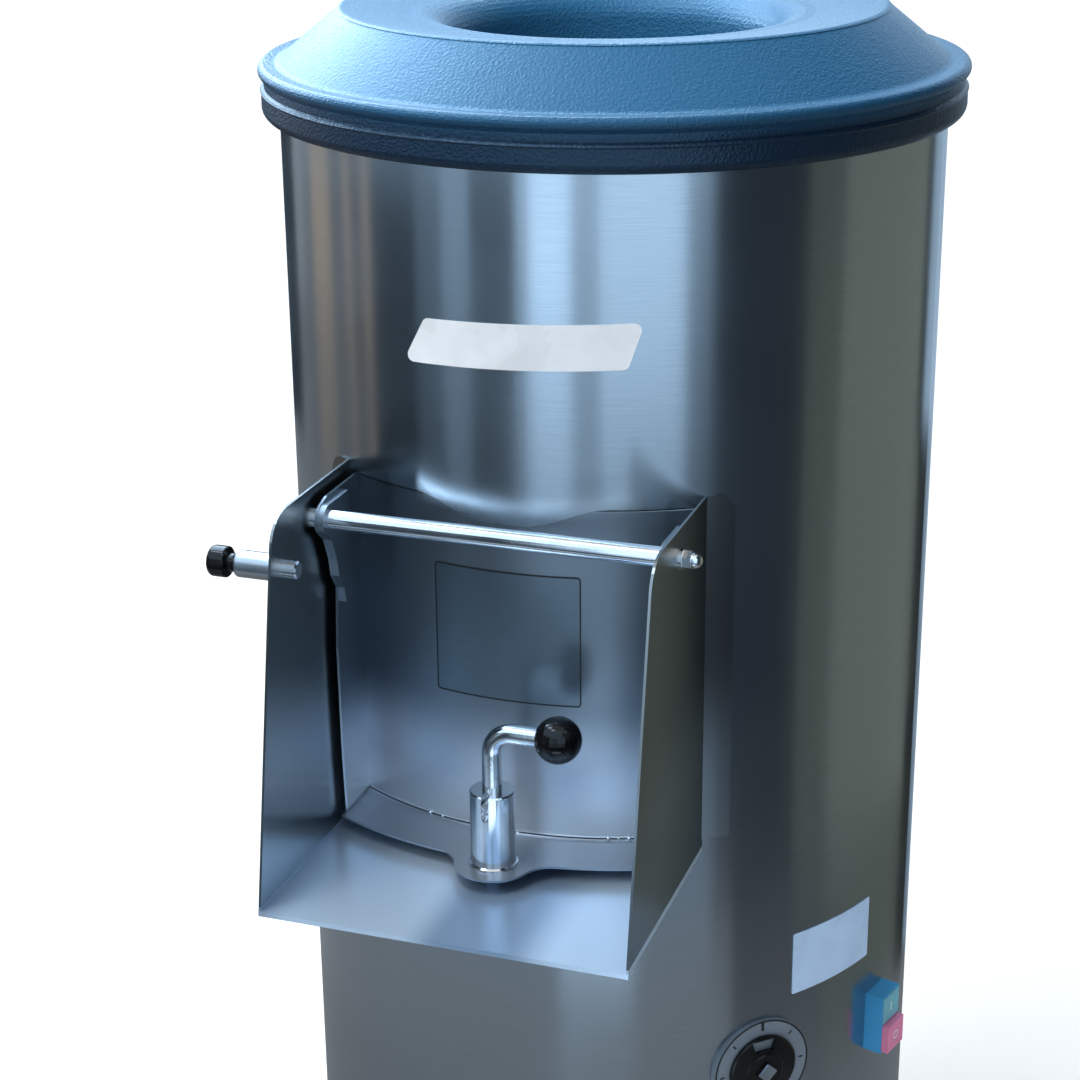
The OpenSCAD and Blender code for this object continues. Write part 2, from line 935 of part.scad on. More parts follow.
// Square holes for the two key stems, behind the pockets
module stem_holes() {
    key_places() {
        translate([-stem_hole / 2, -stem_hole / 2, -24])
            cube([stem_hole, stem_hole, 34]);
        translate([-stem_hole / 2, -stem_hole / 2, -24])
            cube([stem_hole, stem_hole, 34]);
    }
}

// The raised block that the two keys slide in
module switch_frame() {
    pocket = 15;
    behind = 8;
    color("#1e4c66")
        on_side(switch_angle, switch_z, body_r)
            difference() {
                translate([-block_w / 2, -block_h / 2, -behind])
                    cube([block_w, block_h, behind + block_out]);
                key_places() {
                    key_pocket(pocket);
                    key_pocket(pocket);
                }
                stem_holes();
            }
}

// Contact block behind the panel
module switch_body() {
    depth = 32;
    color("#202225")
        on_side(switch_angle, switch_z, body_r)
            difference() {
                translate([1 - block_w / 2, 1 - block_h / 2, -8 - depth])
                    cube([block_w - 2, block_h - 2, depth]);
                stem_holes();
            }
}

// One key with its stem, standing proud of the block by the given height
module key(proud) {
    body_depth = 11;
    stem_end = -15;
    translate([-key_w / 2, -key_h / 2, block_out - body_depth])
        cube([key_w, key_h, body_depth + proud]);
    translate([-stem_w / 2, -stem_w / 2, stem_end])
        cube([stem_w, stem_w, block_out - body_depth + 1 - stem_end]);
}

module start_button() {
    color("#3f8f80")
        on_side(switch_angle, switch_z, body_r)
            key_places() {
                key(0.4);
                union() {}
            }
}

module stop_button() {
    color("#c8324e")
        on_side(switch_angle, switch_z, body_r)
            key_places() {
                union() {}
                key(4.7);
            }
}

// ---------- lid ----------

// Outer and inner outline of the moulded lid, with z measured from the rim
function lid_outline() =
    let (rim = lid_d / 2, hole = feed_d / 2, cone = [rim - 14.5, 5], crown = [rim - 51, lid_crown - 1],
        t = lid_t)
        concat(
            // rolled lower band
            [[body_r + 1.3, -31]],
            arc(rim - 8, -24.5, 6.5, -80, -5, 5),
            // ridge and groove
            [[rim - 1.6, -16], [rim - 1, -15], [rim - 1.8, -13.8], [rim - 3.4, -12.6], [rim - 3.4, -8]],
            // rolled rim
            arc(rim - 4.2, -2.6, 4.2, -60, 80, 7),
            // flange, then the cone
            [[rim - 10, 1.2]],
            arc(rim - 10.2, 8, 6.8, -90, -126, 3),
            [crown],
            arc(crown[0] - 2.4, crown[1] - 4, 5, 50, 98, 4),
            // dished crown that rolls into the feed opening
            [[hole + 26, lid_crown - 5.2]],
            arc(hole + 22, lid_crown - 27, 22, 96, 172, 8),
            [[hole - 4, -26], [hole - 4 + t, -26]],
            // inside, back out to the skirt
            arc(hole + 22, lid_crown - 27, 22 - t, 172, 96, 6),
            [[hole + 26, lid_crown - 5.2 - t], [crown[0] - 3, lid_crown - t - 0.4],
                [crown[0] - 2.4, crown[1] - t - 1], [cone[0] - 3.6, 2.2], [cone[0] - 3.6, -10],
                [body_r + 4.2, -10], [body_r + 4.2, -13.2], [body_r + 1.3, -13.2]]);

module lid() {
    color("#24405c")
        translate([0, 0, rim_z])
            rotate_extrude()
                polygon(lid_outline());
}

// Flat rubber ring under the lid's shoulder
module lid_seal() {
    color("#2b2b2d")
        ring(body_r - 5, body_r + 4.2, top_z, rim_z - 10);
}

// ---------- door ----------

// Front edge shared by the door's side flanges and ears, in [y, z], ending in the boss round the rod
function hinge_edge(inset = 0) =
    concat([[inset - 215, hinge_z - 50], [inset - 221.5, hinge_z - 40], [inset - 223.5, hinge_z - 29],
        [inset - 230, hinge_z - 14]],
        arc(-hinge_y, hinge_z, boss_r - inset, 235, 100, 12));

// Outline of the door's side flange in [y, z]
function flange_outline() =
    concat([[-165, door_z], [-214, door_z], [-216.5, door_z + 40], [-218, hinge_z - 88]],
        hinge_edge(),
        [[-225, door_top + 1], [-165, door_top + 1]]);

// Tab round the latch, blended into the flange's front edge
module latch_tab() {
    tab_r = 24;
    fillet_r = 20;
    fillet_y = -door_flange_r - fillet_r + 4;
    reach = sqrt(pow(tab_r + fillet_r, 2) - pow(fillet_y + latch_y, 2));
    meet_y = (fillet_y + latch_y) * tab_r / (tab_r + fillet_r) - latch_y;
    translate([0, -latch_y])
        circle(r = tab_r);
    difference() {
        translate([-reach, meet_y])
            square([2 * reach, 32]);
        for (side = [-1, 1])
            translate([side * reach, fillet_y])
                circle(r = fillet_r);
    }
}

module door_panel() {
    bend_in = 3.5;
    color("#a3a7aa")
        difference() {
            union() {
                // rolled face, in line with the body
                intersection() {
                    union() {
                        ring(door_r - sheet_t, door_r, door_z, door_top);
                        // inside of the bend between the face and the lower flange
                        translate([0, 0, door_z + sheet_t])
                            rotate_extrude()
                                polygon(concat([[door_r - 0.5, -0.5], [door_r + bend_in, -0.5]],
                                    arc(door_r + bend_in, bend_in, bend_in, 270, 180, 4),
                                    [[door_r - 0.5, bend_in]]));
                    }
                    translate([-flange_x, -body_r - 10, 0])
                        cube([2 * flange_x, 100, 900]);
                }
                // side flanges
                difference() {
                    for (side = [0, 1])
                        mirror([side, 0, 0])
                            side_plate(flange_outline(), flange_x - sheet_t, sheet_t);
                    translate([0, 0, door_z - 1])
                        cylinder(r = door_r - sheet_t, h = 300);
                }
                // lower flange with the latch tab
                translate([0, 0, door_z])
                    linear_extrude(sheet_t)
                        intersection() {
                            difference() {
                                union() {
                                    circle(r = door_flange_r);
                                    translate([latch_x, 0])
                                        latch_tab();
                                }
                                circle(r = door_r - sheet_t);
                            }
                            translate([-flange_x, -300])
                                square([2 * flange_x, 200]);
                        }
            }
            rod_x(rod_d / 2 + 0.5, -150, 150, -hinge_y, hinge_z);
            translate([latch_x, -latch_y, door_z - 5])
                cylinder(r = bolt_r + run, h = 10);
        }
}

// Thick plates welded inside the side flanges; they turn on the hinge rod
module door_ears() {
    inset = 0.6;
    low = hinge_z - 60;
    outline = concat([[-203, low], [-212, low]], hinge_edge(inset),
        [[-220, hinge_z + 9], [-203, hinge_z + 9]]);
    color("#a9adb0")
        difference() {
            for (side = [0, 1])
                mirror([side, 0, 0])
                    side_plate(outline, flange_x - sheet_t - ear_t, ear_t);
            rod_x(rod_d / 2 + run, -150, 150, -hinge_y, hinge_z);
        }
}

// Rubber frame on the inside of the door
module door_gasket() {
    edge = 9;
    low = door_z + 3;
    high = hinge_z - 8;
    half = flange_x - 7;
    color("#2b2b2d")
        difference() {
            intersection() {
                ring(door_r - sheet_t - 2, door_r - sheet_t, low, high);
                translate([-half, -body_r, 0])
                    cube([2 * half, 80, 900]);
            }
            translate([-half + edge, -body_r, low + edge])
                cube([2 * (half - edge), 90, high - low - 2 * edge]);
        }
}

// ---------- latch ----------

// Tube that guides the bolt, with a slot down its front that has a round lower end
module latch_housing() {
    base = door_z + sheet_t;
    tube_r = latch_d / 2;
    slot_end = latch_h - slot_depth + slot_w / 2;
    color("#c9ccce")
        translate([latch_x, -latch_y, base])
            difference() {
                rotate_extrude()
                    polygon([[bolt_r + run, 0], [tube_r + 1.4, 0], [tube_r + 1.2, 1.2], [tube_r, 2],
                        [tube_r, latch_h - 0.8], [tube_r - 0.8, latch_h], [bolt_r + run, latch_h]]);
                translate([-slot_w / 2, -latch_d, slot_end])
                    cube([slot_w, latch_d, slot_depth]);
                translate([0, 0, slot_end])
                    rotate([90, 0, 0])
                        cylinder(r = slot_w / 2, h = latch_d);
            }
}

// Bolt bent over at the top into its handle
module latch_bolt() {
    color("#c9ccce")
        translate([latch_x, -latch_y, 0]) {
            translate([0, 0, bolt_tip + 2])
                cylinder(r = bolt_r, h = handle_z - bend_r - bolt_tip - 2);
            translate([0, 0, bolt_tip])
                cylinder(r1 = bolt_r - 2, r2 = bolt_r, h = 2);
            translate([bend_r, 0, handle_z - bend_r])
                rotate([90, 0, 0])
                    rotate([0, 0, 90])
                        rotate_extrude(angle = 90)
                            translate([bend_r, 0])
                                circle(r = bolt_r);
            translate([bend_r, 0, handle_z])
                rotate([0, 90, 0])
                    cylinder(r = bolt_r, h = handle_x - bend_r - 6);
        }
}

module latch_ball() {
    ball_r = ball_d / 2;
    flat = ball_r - 2;
    color("#0f1011")
        translate([latch_x + handle_x, -latch_y, handle_z])
            rotate([0, 90, 0])
                rotate_extrude()
                    polygon(concat([[0, -6], [bolt_r, -6], [bolt_r, -flat]],
                        arc(0, 0, ball_r, -asin(flat / ball_r), 90, 16)));
}

// Guide pin that runs in the housing's slot and stops the bolt turning
module latch_pin() {
    color("#8d9296")
        translate([latch_x, -latch_y, pin_z])
            difference() {
                rotate([90, 0, 0])
                    cylinder(r = pin_r, h = latch_d / 2 - 1);
                translate([0, 0, -5])
                    cylinder(r = bolt_r, h = 10);
            }
}

// ---------- disc ----------

module peeling_disc() {
    color("#8b8f92")
        ring(8, disc_d / 2, disc_z, disc_z + 4);
}

// Abrasive facing with two raised waves that tumble the load
module disc_grit() {
    wave_r = 26;
    wave_h = 11;
    color("#5b5d5f")
        difference() {
            union() {
                translate([0, 0, disc_z + 4])
                    cylinder(r = disc_d / 2 - 0.5, h = 5);
                intersection() {
                    translate([0, 0, disc_z + 4])
                        cylinder(r = disc_d / 2 - 8, h = 60);
                    for (side = [0, 1])
                        mirror([side, 0, 0])
                            rod_x(wave_r, 42, disc_d / 2, 0, disc_z + 9 + wave_h - wave_r);
                }
            }
            translate([0, 0, disc_z - 60])
                cylinder(r = disc_d, h = 64);
            translate([0, 0, disc_z])
                cylinder(r = 24, h = 40);
        }
}

module disc_hub() {
    color("#8b8f92")
        rotate_extrude()
            polygon([[shaft_r, disc_z - 28], [24, disc_z - 28], [26, disc_z - 26], [26, disc_z - 8],
                [60, disc_z - 5], [60, disc_z], [shaft_r, disc_z]]);
}

// Domed nut that clamps the disc to its shaft
module disc_nut() {
    color("#c9ccce")
        difference() {
            union() {
                translate([0, 0, disc_z + 4])
                    cylinder(r = 20, h = 3);
                translate([0, 0, disc_z + 7])
                    cylinder(r = 15, h = 8, $fn = 6);
                intersection() {
                    translate([0, 0, disc_z + 11])
                        sphere(r = 13);
                    translate([0, 0, disc_z + 11])
                        cylinder(r = 20, h = 20);
                }
            }
            translate([0, 0, disc_z])
                cylinder(r = 8, h = 18);
        }
}

base_ring();
body_shell();
top_ring();
chamber_liner();
chamber_pan();
bearing_housing();
housing_bolts();
upper_bearing();
lower_bearing();
shaft_seal();
motor_plate();
motor_housing();
terminal_box();
drive_belt();
drain_spout();
water_inlet();
inlet_nut();
cable_gland();
rear_cover();
cover_screws();
chute();
hinge_rod();
hinge_nuts();
plunger_sleeve();
timer_body();
dial_plate();
switch_frame();
switch_body();
lid();
lid_seal();
door_panel();
door_ears();
door_gasket();
latch_housing();
latch_bolt();
latch_ball();
latch_pin();
plunger_pin();
plunger_knob();
plunger_spring();
timer_knob();
timer_spindle();
start_button();
stop_button();
peeling_disc();
disc_grit();
disc_hub();
disc_nut();
drive_shaft();
driven_pulley();
motor_shaft();
motor_pulley();
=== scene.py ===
# %% [markdown]
# # A floor-standing potato peeler
#
# This lesson dresses a stainless steel potato peeler. Its solids come from a CAD model as a fixed
# frame. Every CAD piece keeps its shape and gets a finish here, and the small things that a CAD model
# leaves out, such as plates, printed marks, threads and grit, are made around it.
#
# The first cell loads that frame. The object stands at the origin, +Z is up, the chute looks along -Y
# and the controls are on the +X side. Lengths are in metres.

import math

import bmesh
import bpy
from mathutils import Matrix, Vector


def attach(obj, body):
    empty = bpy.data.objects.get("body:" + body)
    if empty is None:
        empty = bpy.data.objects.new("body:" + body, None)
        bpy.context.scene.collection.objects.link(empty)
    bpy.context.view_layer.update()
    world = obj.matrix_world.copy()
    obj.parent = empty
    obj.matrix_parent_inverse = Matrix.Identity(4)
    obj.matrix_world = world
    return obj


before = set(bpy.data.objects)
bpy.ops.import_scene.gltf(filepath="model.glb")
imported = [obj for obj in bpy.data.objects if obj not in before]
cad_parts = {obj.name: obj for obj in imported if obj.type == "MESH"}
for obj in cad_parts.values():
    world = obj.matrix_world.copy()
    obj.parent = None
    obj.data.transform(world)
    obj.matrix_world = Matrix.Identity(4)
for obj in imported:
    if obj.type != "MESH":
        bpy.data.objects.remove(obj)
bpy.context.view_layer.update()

# %% [markdown]
# ## Tools for nodes and finishes
#
# A finish is a material made of nodes. Each one starts as a Principled shader with its plain numbers
# set on the shader's own sockets. What varies over the surface, such as grain, grit or smudges, comes
# from noise in Object coordinates, so that it stays with the piece and needs no UV map.

# %% Add nodes to a tree
MM = 0.001


def put(tree, kind, links=(), **values):
    """Adds a node. values set its inputs by name, and links are (output, input name or number)."""
    node = tree.nodes.new(kind)
    for name, value in values.items():
        if name in node.inputs:
            node.inputs[name].default_value = value
        elif name.replace("_", " ") in node.inputs:
            node.inputs[name.replace("_", " ")].default_value = value
        else:
            setattr(node, name, value)
    for output, place in links:
        tree.links.new(output, node.inputs[place])
    return node


def maths(tree, operation, *values):
    """The result of a Math node, where each value is an output or a plain number."""
    node = put(tree, "ShaderNodeMath", operation=operation)
    for place, value in zip(node.inputs, values):
        if isinstance(value, bpy.types.NodeSocket):
            tree.links.new(value, place)
        else:
            place.default_value = value
    return node.outputs[0]


def remap(tree, value, start, end, low=0.0, high=1.0, kind="LINEAR"):
    """A value that goes from start to end, mapped so that it goes from low to high."""
    return put(tree, "ShaderNodeMapRange", [(value, "Value")], interpolation_type=kind,
               From_Min=start, From_Max=end, To_Min=low, To_Max=high).outputs[0]


def color_ramp(tree, factor, stops, kind="LINEAR"):
    """A colour that follows the factor through (position, colour) stops."""
    ramp = put(tree, "ShaderNodeValToRGB", [(factor, "Fac")])
    ramp.color_ramp.interpolation = kind
    marks = ramp.color_ramp.elements
    while len(marks) < len(stops):
        marks.new(0.5)
    for mark, (position, color) in zip(marks, stops):
        mark.position = position
        mark.color = (*color, 1)
    return ramp.outputs["Color"]


print("node tools ready")

# %% Start a finish and feed its sockets
NOISE_LOW, NOISE_HIGH = 0.3, 0.7


def new_finish(name, color, roughness, metallic=0.0, **sockets):
    """A Principled material; extra keywords name sockets, with _ for a space."""
    material = bpy.data.materials.new(name)
    material.use_nodes = True
    shader = material.node_tree.nodes["Principled BSDF"]
    shader.inputs["Base Color"].default_value = (*color, 1)
    shader.inputs["Roughness"].default_value = roughness
    shader.inputs["Metallic"].default_value = metallic
    for socket, value in sockets.items():
        shader.inputs[socket.replace("_", " ")].default_value = value
    material.diffuse_color = (*color, 1)
    return material


def feed(material, socket, output):
    """Links an output to a socket of the material's shader, in place of what was there."""
    shader = material.node_tree.nodes["Principled BSDF"]
    material.node_tree.links.new(output, shader.inputs[socket])


def vary(material, socket, factor, low, high):
    """Takes a number socket from low to high as the factor goes over the usual span of noise."""
    number = remap(material.node_tree, factor, NOISE_LOW, NOISE_HIGH, low, high, "SMOOTHSTEP")
    feed(material, socket, number)


def blend_colors(material, factor, first, second, low=NOISE_LOW, high=NOISE_HIGH):
    """Blends the base colour from first to second as the factor goes from low to high."""
    feed(material, "Base Color", color_ramp(material.node_tree, factor, [(low, first), (high, second)]))


def raise_surface(material, *layers):
    """Stacks bump layers, each (height, strength, distance in metres), onto the shader's normal."""
    below = None
    for height, strength, distance in layers:
        links = [(height, "Height")] + ([(below, "Normal")] if below else [])
        below = put(material.node_tree, "ShaderNodeBump", links, Strength=strength,
                    Distance=distance).outputs[0]
    feed(material, "Normal", below)


def lighter(color, factor):
    return tuple(min(1.0, part * factor) for part in color)


print("finish tools ready")

# %% [markdown]
# The coordinates decide which way a grain runs. Rolled sheet is brushed round the drum, so its
# coordinates are the angle about Z, squeezed until a dot becomes a long line, and the height. Flat
# sheet uses plain coordinates that are squeezed along one axis in the same way.

# %% Coordinates that stretch a grain
SHEET_R = 0.21


def stretched(material, squeeze=(1, 1, 1)):
    """Object coordinates, squeezed by three factors."""
    tree = material.node_tree
    place = put(tree, "ShaderNodeTexCoord")
    return put(tree, "ShaderNodeMapping", [(place.outputs["Object"], "Vector")], Scale=squeeze).outputs[0]


def around_axis(material, squeeze):
    """The way round the Z axis, squeezed, in X, and the height in Z."""
    tree = material.node_tree
    place = put(tree, "ShaderNodeTexCoord")
    parts = put(tree, "ShaderNodeSeparateXYZ", [(place.outputs["Object"], 0)])
    angle = maths(tree, "ARCTAN2", parts.outputs["X"], parts.outputs["Y"])
    way = maths(tree, "MULTIPLY", angle, SHEET_R * squeeze)
    return put(tree, "ShaderNodeCombineXYZ", [(way, "X"), (parts.outputs["Z"], "Z")]).outputs[0]


def noise(material, vector, scale, detail=2.0, roughness=0.5):
    return put(material.node_tree, "ShaderNodeTexNoise", [(vector, "Vector")],
               Scale=scale, Detail=detail, Roughness=roughness).outputs["Fac"]


print("grain tools ready")

# %% [markdown]
# ## Brushed steel
#
# The drum is rolled from stainless sheet with its brush lines running round it. Such a surface smears
# a reflection across the lines, so a lamp becomes a tall soft streak. Anisotropy does that: the
# tangent runs round the axis, and a quarter turn of rotation stretches the highlight along Z. Faint
# lines, slow waves of the rolled sheet and hand marks break it up.

# %% Brushed steel finishes
STEEL = (0.40, 0.45, 0.49)
DARK_STEEL = (0.265, 0.30, 0.335)
PLATE_STEEL = (0.21, 0.26, 0.30)
LINE_SQUEEZE = 0.02
QUARTER_TURN = 0.25


def brush(material, place, color):
    """Colours fine lines and returns them as a bump layer."""
    lines = noise(material, place, scale=1400, detail=3.0, roughness=0.7)
    blend_colors(material, lines, lighter(color, 0.94), lighter(color, 1.05))
    return (lines, 0.03, 0.0002)


def flat_steel(name, color, roughness, squeeze, wave=0.0):
    """Brushed flat sheet; the squeeze says along which axis its lines run."""
    material = new_finish(name, color, roughness, metallic=1.0)
    layers = [brush(material, stretched(material, squeeze), color)]
    smudge = noise(material, stretched(material), scale=12, detail=1.0)
    vary(material, "Roughness", smudge, roughness * 0.8, roughness * 1.2)
    if wave:
        slow = noise(material, stretched(material), scale=9, detail=0.0)
        layers.append((slow, 0.4, wave))
    raise_surface(material, *layers)
    return material


def drum_steel(name, color, roughness, anisotropic, wave):
    """Brushed steel whose lines run round the Z axis."""
    material = new_finish(name, color, roughness, metallic=1.0, Anisotropic=anisotropic,
                          Anisotropic_Rotation=QUARTER_TURN)
    lines = brush(material, around_axis(material, LINE_SQUEEZE), color)
    smudge = noise(material, stretched(material), scale=9, detail=1.0)
    vary(material, "Roughness", smudge, roughness * 0.86, roughness * 1.16)
    slow = noise(material, stretched(material, (1, 1, 0.3)), scale=12, detail=0.0)
    raise_surface(material, lines, (slow, 0.3, wave))
    tangent = put(material.node_tree, "ShaderNodeTangent", direction_type="RADIAL", axis="Z")
    feed(material, "Tangent", tangent.outputs[0])
    return material


stainless = drum_steel("stainless_drum", STEEL, 0.22, anisotropic=0.75, wave=0.0007)
cover_steel = drum_steel("stainless_cover", STEEL, 0.33, anisotropic=0.5, wave=0.0004)
door_steel = drum_steel("stainless_door", DARK_STEEL, 0.32, anisotropic=0.4, wave=0.0005)
etched_plate = drum_steel("etched_plate", PLATE_STEEL, 0.32, anisotropic=0.3, wave=0.0002)
chute_steel = flat_steel("stainless_chute", STEEL, 0.30, squeeze=(1, 0.03, 0.03), wave=0.0006)
plate_steel = flat_steel("cut_steel_plate", DARK_STEEL, 0.36, squeeze=(1, 1, 0.05))
print("steel finishes:", [m.name for m in bpy.data.materials if "steel" in m.name or "stainless" in m.name])

# %% [markdown]
# ### Painted reflections on the chute and the door
#
# The floor of the chute is scuffed by everything that slides over it. Fine scratches in every
# direction scatter light almost as paint does, so at the height of the floor the finish turns
# rougher and less mirror-like than on the upright cheeks. Its pale colour is painted reflection,
# brightest in two lanes, one on either side of the latch, and darker between them and at the left
# edge. The cheeks are painted darker near their tops as painted dark reflection, and the foot of
# the door's face is painted bright, just above its flange, as painted reflection.

# %% Tools for scuffs and painted reflections
FLOOR_TOP = 0.5345


def by_height(material, below, above, start=FLOOR_TOP, end=FLOOR_TOP + MM):
    """A number that has one value below the start height and another above the end height."""
    parts = put(material.node_tree, "ShaderNodeSeparateXYZ", [(stretched(material), 0)])
    return remap(material.node_tree, parts.outputs["Z"], start, end, below, above, "SMOOTHSTEP")


def ramp_along(material, axis, start, end, stops):
    """A colour along an axis between two places, from (fraction of the way, colour) stops."""
    tree = material.node_tree
    parts = put(tree, "ShaderNodeSeparateXYZ", [(stretched(material), 0)])
    return color_ramp(tree, remap(tree, parts.outputs[axis], start, end), stops, "EASE")


print("wear tools ready")

# %% Scuff the floor of the chute, and paint reflections onto the chute and the foot of the door
LANES_X = 0.16
CHEEK_DARK_Z = 0.70
LANE_REFLECTION, DARK_LANE_REFLECTION, EDGE_REFLECTION = (0.67, 0.83, 1.0), (0.30, 0.42, 0.58), (0.32, 0.40, 0.50)
CHEEK_FOOT, CHEEK_TOP_DARK_REFLECTION = (0.44, 0.48, 0.51), (0.25, 0.26, 0.26)

# Painted reflections: pale lanes either side of the latch, darker between them and at the left edge
lane_reflections = ramp_along(chute_steel, "X", -LANES_X, LANES_X,
                   [(0.0, EDGE_REFLECTION), (0.12, EDGE_REFLECTION), (0.22, LANE_REFLECTION), (0.42, LANE_REFLECTION),
                    (0.50, DARK_LANE_REFLECTION), (0.62, DARK_LANE_REFLECTION), (0.72, LANE_REFLECTION), (1.0, LANE_REFLECTION)])
# Painted dark reflection: the cheeks darken towards their tops
cheek_reflections = ramp_along(chute_steel, "Z", FLOOR_TOP, CHEEK_DARK_Z,
                    [(0.0, CHEEK_FOOT), (0.35, CHEEK_FOOT), (0.80, CHEEK_TOP_DARK_REFLECTION)])
chute_painted_reflections = put(chute_steel.node_tree, "ShaderNodeMixRGB",
                  [(by_height(chute_steel, 0, 1), "Fac"), (lane_reflections, "Color1"), (cheek_reflections, "Color2")])
feed(chute_steel, "Base Color", chute_painted_reflections.outputs[0])
feed(chute_steel, "Roughness", by_height(chute_steel, 0.30, 0.26))
feed(chute_steel, "Metallic", by_height(chute_steel, 0.64, 1.0))

# The door's flange lies below 0.543 m, which is 0.108 of the way up this ramp
DOOR_FOOT_Z, DOOR_PLAIN_Z = 0.530, 0.650
# Painted reflection: the foot of the door's face is painted bright just above its flange and fades upwards
FLANGE, DOOR_FOOT_REFLECTION, DOOR_FOOT_FADING_REFLECTION = (0.30, 0.335, 0.38), (0.80, 0.85, 0.90), (0.66, 0.70, 0.76)
door_painted_reflection = ramp_along(door_steel, "Z", DOOR_FOOT_Z, DOOR_PLAIN_Z,
                        [(0.0, FLANGE), (0.105, FLANGE), (0.13, DOOR_FOOT_REFLECTION), (0.42, DOOR_FOOT_FADING_REFLECTION),
                         (0.85, DARK_STEEL)])
feed(door_steel, "Base Color", door_painted_reflection)
feed(door_steel, "Metallic", by_height(door_steel, 0.72, 1.0, start=0.535, end=0.640))
print("chute floor scuffed up to", FLOOR_TOP, "m")

# %% [markdown]
# ## Plain metals
#
# The rod, the latch and the nuts are polished bright steel. The pan and disc are cast aluminium with
# a sand-cast skin, the pulleys and the bearing housing are iron, and the water connection is brass.

# %% Metal finishes
def turned_metal(name, color, roughness, skin=0.0, skin_scale=900):
    """A metal with a fine skin: polished where skin is small, cast where it is larger."""
    material = new_finish(name, color, roughness, metallic=1.0)
    place = stretched(material)
    fine = noise(material, place, skin_scale, detail=4.0)
    broad = noise(material, place, scale=45, detail=3.0)
    blend_colors(material, broad, lighter(color, 0.88), lighter(color, 1.06))
    vary(material, "Roughness", broad, roughness * 0.75, roughness * 1.3)
    raise_surface(material, (fine, 0.3, 0.0001 + skin))
    return material


CAST_SKIN = {"skin": 0.0003, "skin_scale": 500}
bright_steel = turned_metal("polished_steel", (0.72, 0.74, 0.76), 0.12)
machined_steel = turned_metal("machined_steel", (0.46, 0.48, 0.50), 0.30)
cast_aluminium = turned_metal("cast_aluminium", (0.60, 0.61, 0.62), 0.45, **CAST_SKIN)
iron = turned_metal("machined_iron", (0.20, 0.21, 0.22), 0.42, **CAST_SKIN)
brass = turned_metal("brass_fitting", (0.68, 0.50, 0.22), 0.28)
cap_metal = turned_metal("knob_cap_aluminium", (0.62, 0.72, 0.84), 0.24)
print("metal finishes ready")

# %% [markdown]
# ## Plastics, rubber and grit
#
# Knobs are glossy phenolic, gaskets are matt rubber, and plates and keys are smooth plastic. The
# chamber's coating is black grit in resin, dark with pale sparkling grains.

# %% Plastic, rubber and grit finishes
def moulded(name, color, roughness, grain=0.0, grain_scale=900, **sockets):
    """A plastic with slightly uneven gloss and, where asked, a pressed grain."""
    material = new_finish(name, color, roughness, **sockets)
    place = stretched(material)
    broad = noise(material, place, scale=30, detail=3.0)
    vary(material, "Roughness", broad, roughness * 0.85, roughness * 1.15)
    blend_colors(material, broad, lighter(color, 0.9), lighter(color, 1.1))
    fine = noise(material, place, grain_scale, detail=2.0)
    raise_surface(material, (fine, 0.5 if grain else 0.15, grain or 0.00005))
    return material


def grit(name, dark, pale):
    """Coarse grains in dark resin, some of them pale."""
    material = new_finish(name, dark, 0.75)
    place = stretched(material)
    grains = put(material.node_tree, "ShaderNodeTexVoronoi", [(place, "Vector")], Scale=520)
    speck = noise(material, place, scale=700, detail=2.0)
    blend_colors(material, speck, dark, pale, 0.45, 0.75)
    raise_surface(material, (grains.outputs["Distance"], 0.8, 0.0012))
    return material


rubber = moulded("matt_rubber", (0.018, 0.018, 0.020), 0.70, grain=0.0002, grain_scale=1200)
black_gloss = moulded("glossy_phenolic", (0.004, 0.004, 0.005), 0.10, Specular_IOR_Level=0.28)
black_satin = moulded("satin_black_plastic", (0.006, 0.006, 0.007), 0.30, grain=0.0001,
                      Specular_IOR_Level=0.35)
cream_plastic = moulded("cream_plastic", (0.60, 0.57, 0.48), 0.45)
switch_blue = moulded("switch_blue_plastic", (0.050, 0.360, 0.720), 0.34)
switch_green = moulded("switch_green_key", (0.16, 0.46, 0.56), 0.34)
switch_red = moulded("switch_red_key", (0.78, 0.24, 0.42), 0.34)
motor_paint = moulded("motor_enamel", (0.05, 0.085, 0.12), 0.40, grain=0.0001)
label_white = moulded("white_plate", (0.78, 0.82, 0.86), 0.30)
# The information plate is pale blue-white, painted darker and bluer as painted shade for the machine's
# shaded right side
pale_plate_in_shade = moulded("pale_blue_plate", (0.48, 0.66, 0.92), 0.30)
ink = moulded("plate_ink", (0.012, 0.014, 0.016), 0.40)
dial_face = moulded("dial_face", (0.17, 0.215, 0.265), 0.32)
abrasive = grit("abrasive_grit", (0.022, 0.022, 0.024), (0.16, 0.16, 0.165))
print("plastic, rubber and grit finishes ready")

# %% [markdown]
# The lid is moulded in dark blue polyethylene with a leather grain: two sizes of bumps pressed into
# the surface, and a soft gloss on top. Its crown is painted a lighter blue as painted light, for the
# top that takes the most light. A point belongs to the crown when its height, less half its distance
# from the axis, is large enough, so the colour turns along the lid's cone and not at one level.

# %% The lid's leather grain
CROWN_SLOPE = -0.5
CROWN_BLEND = 0.018


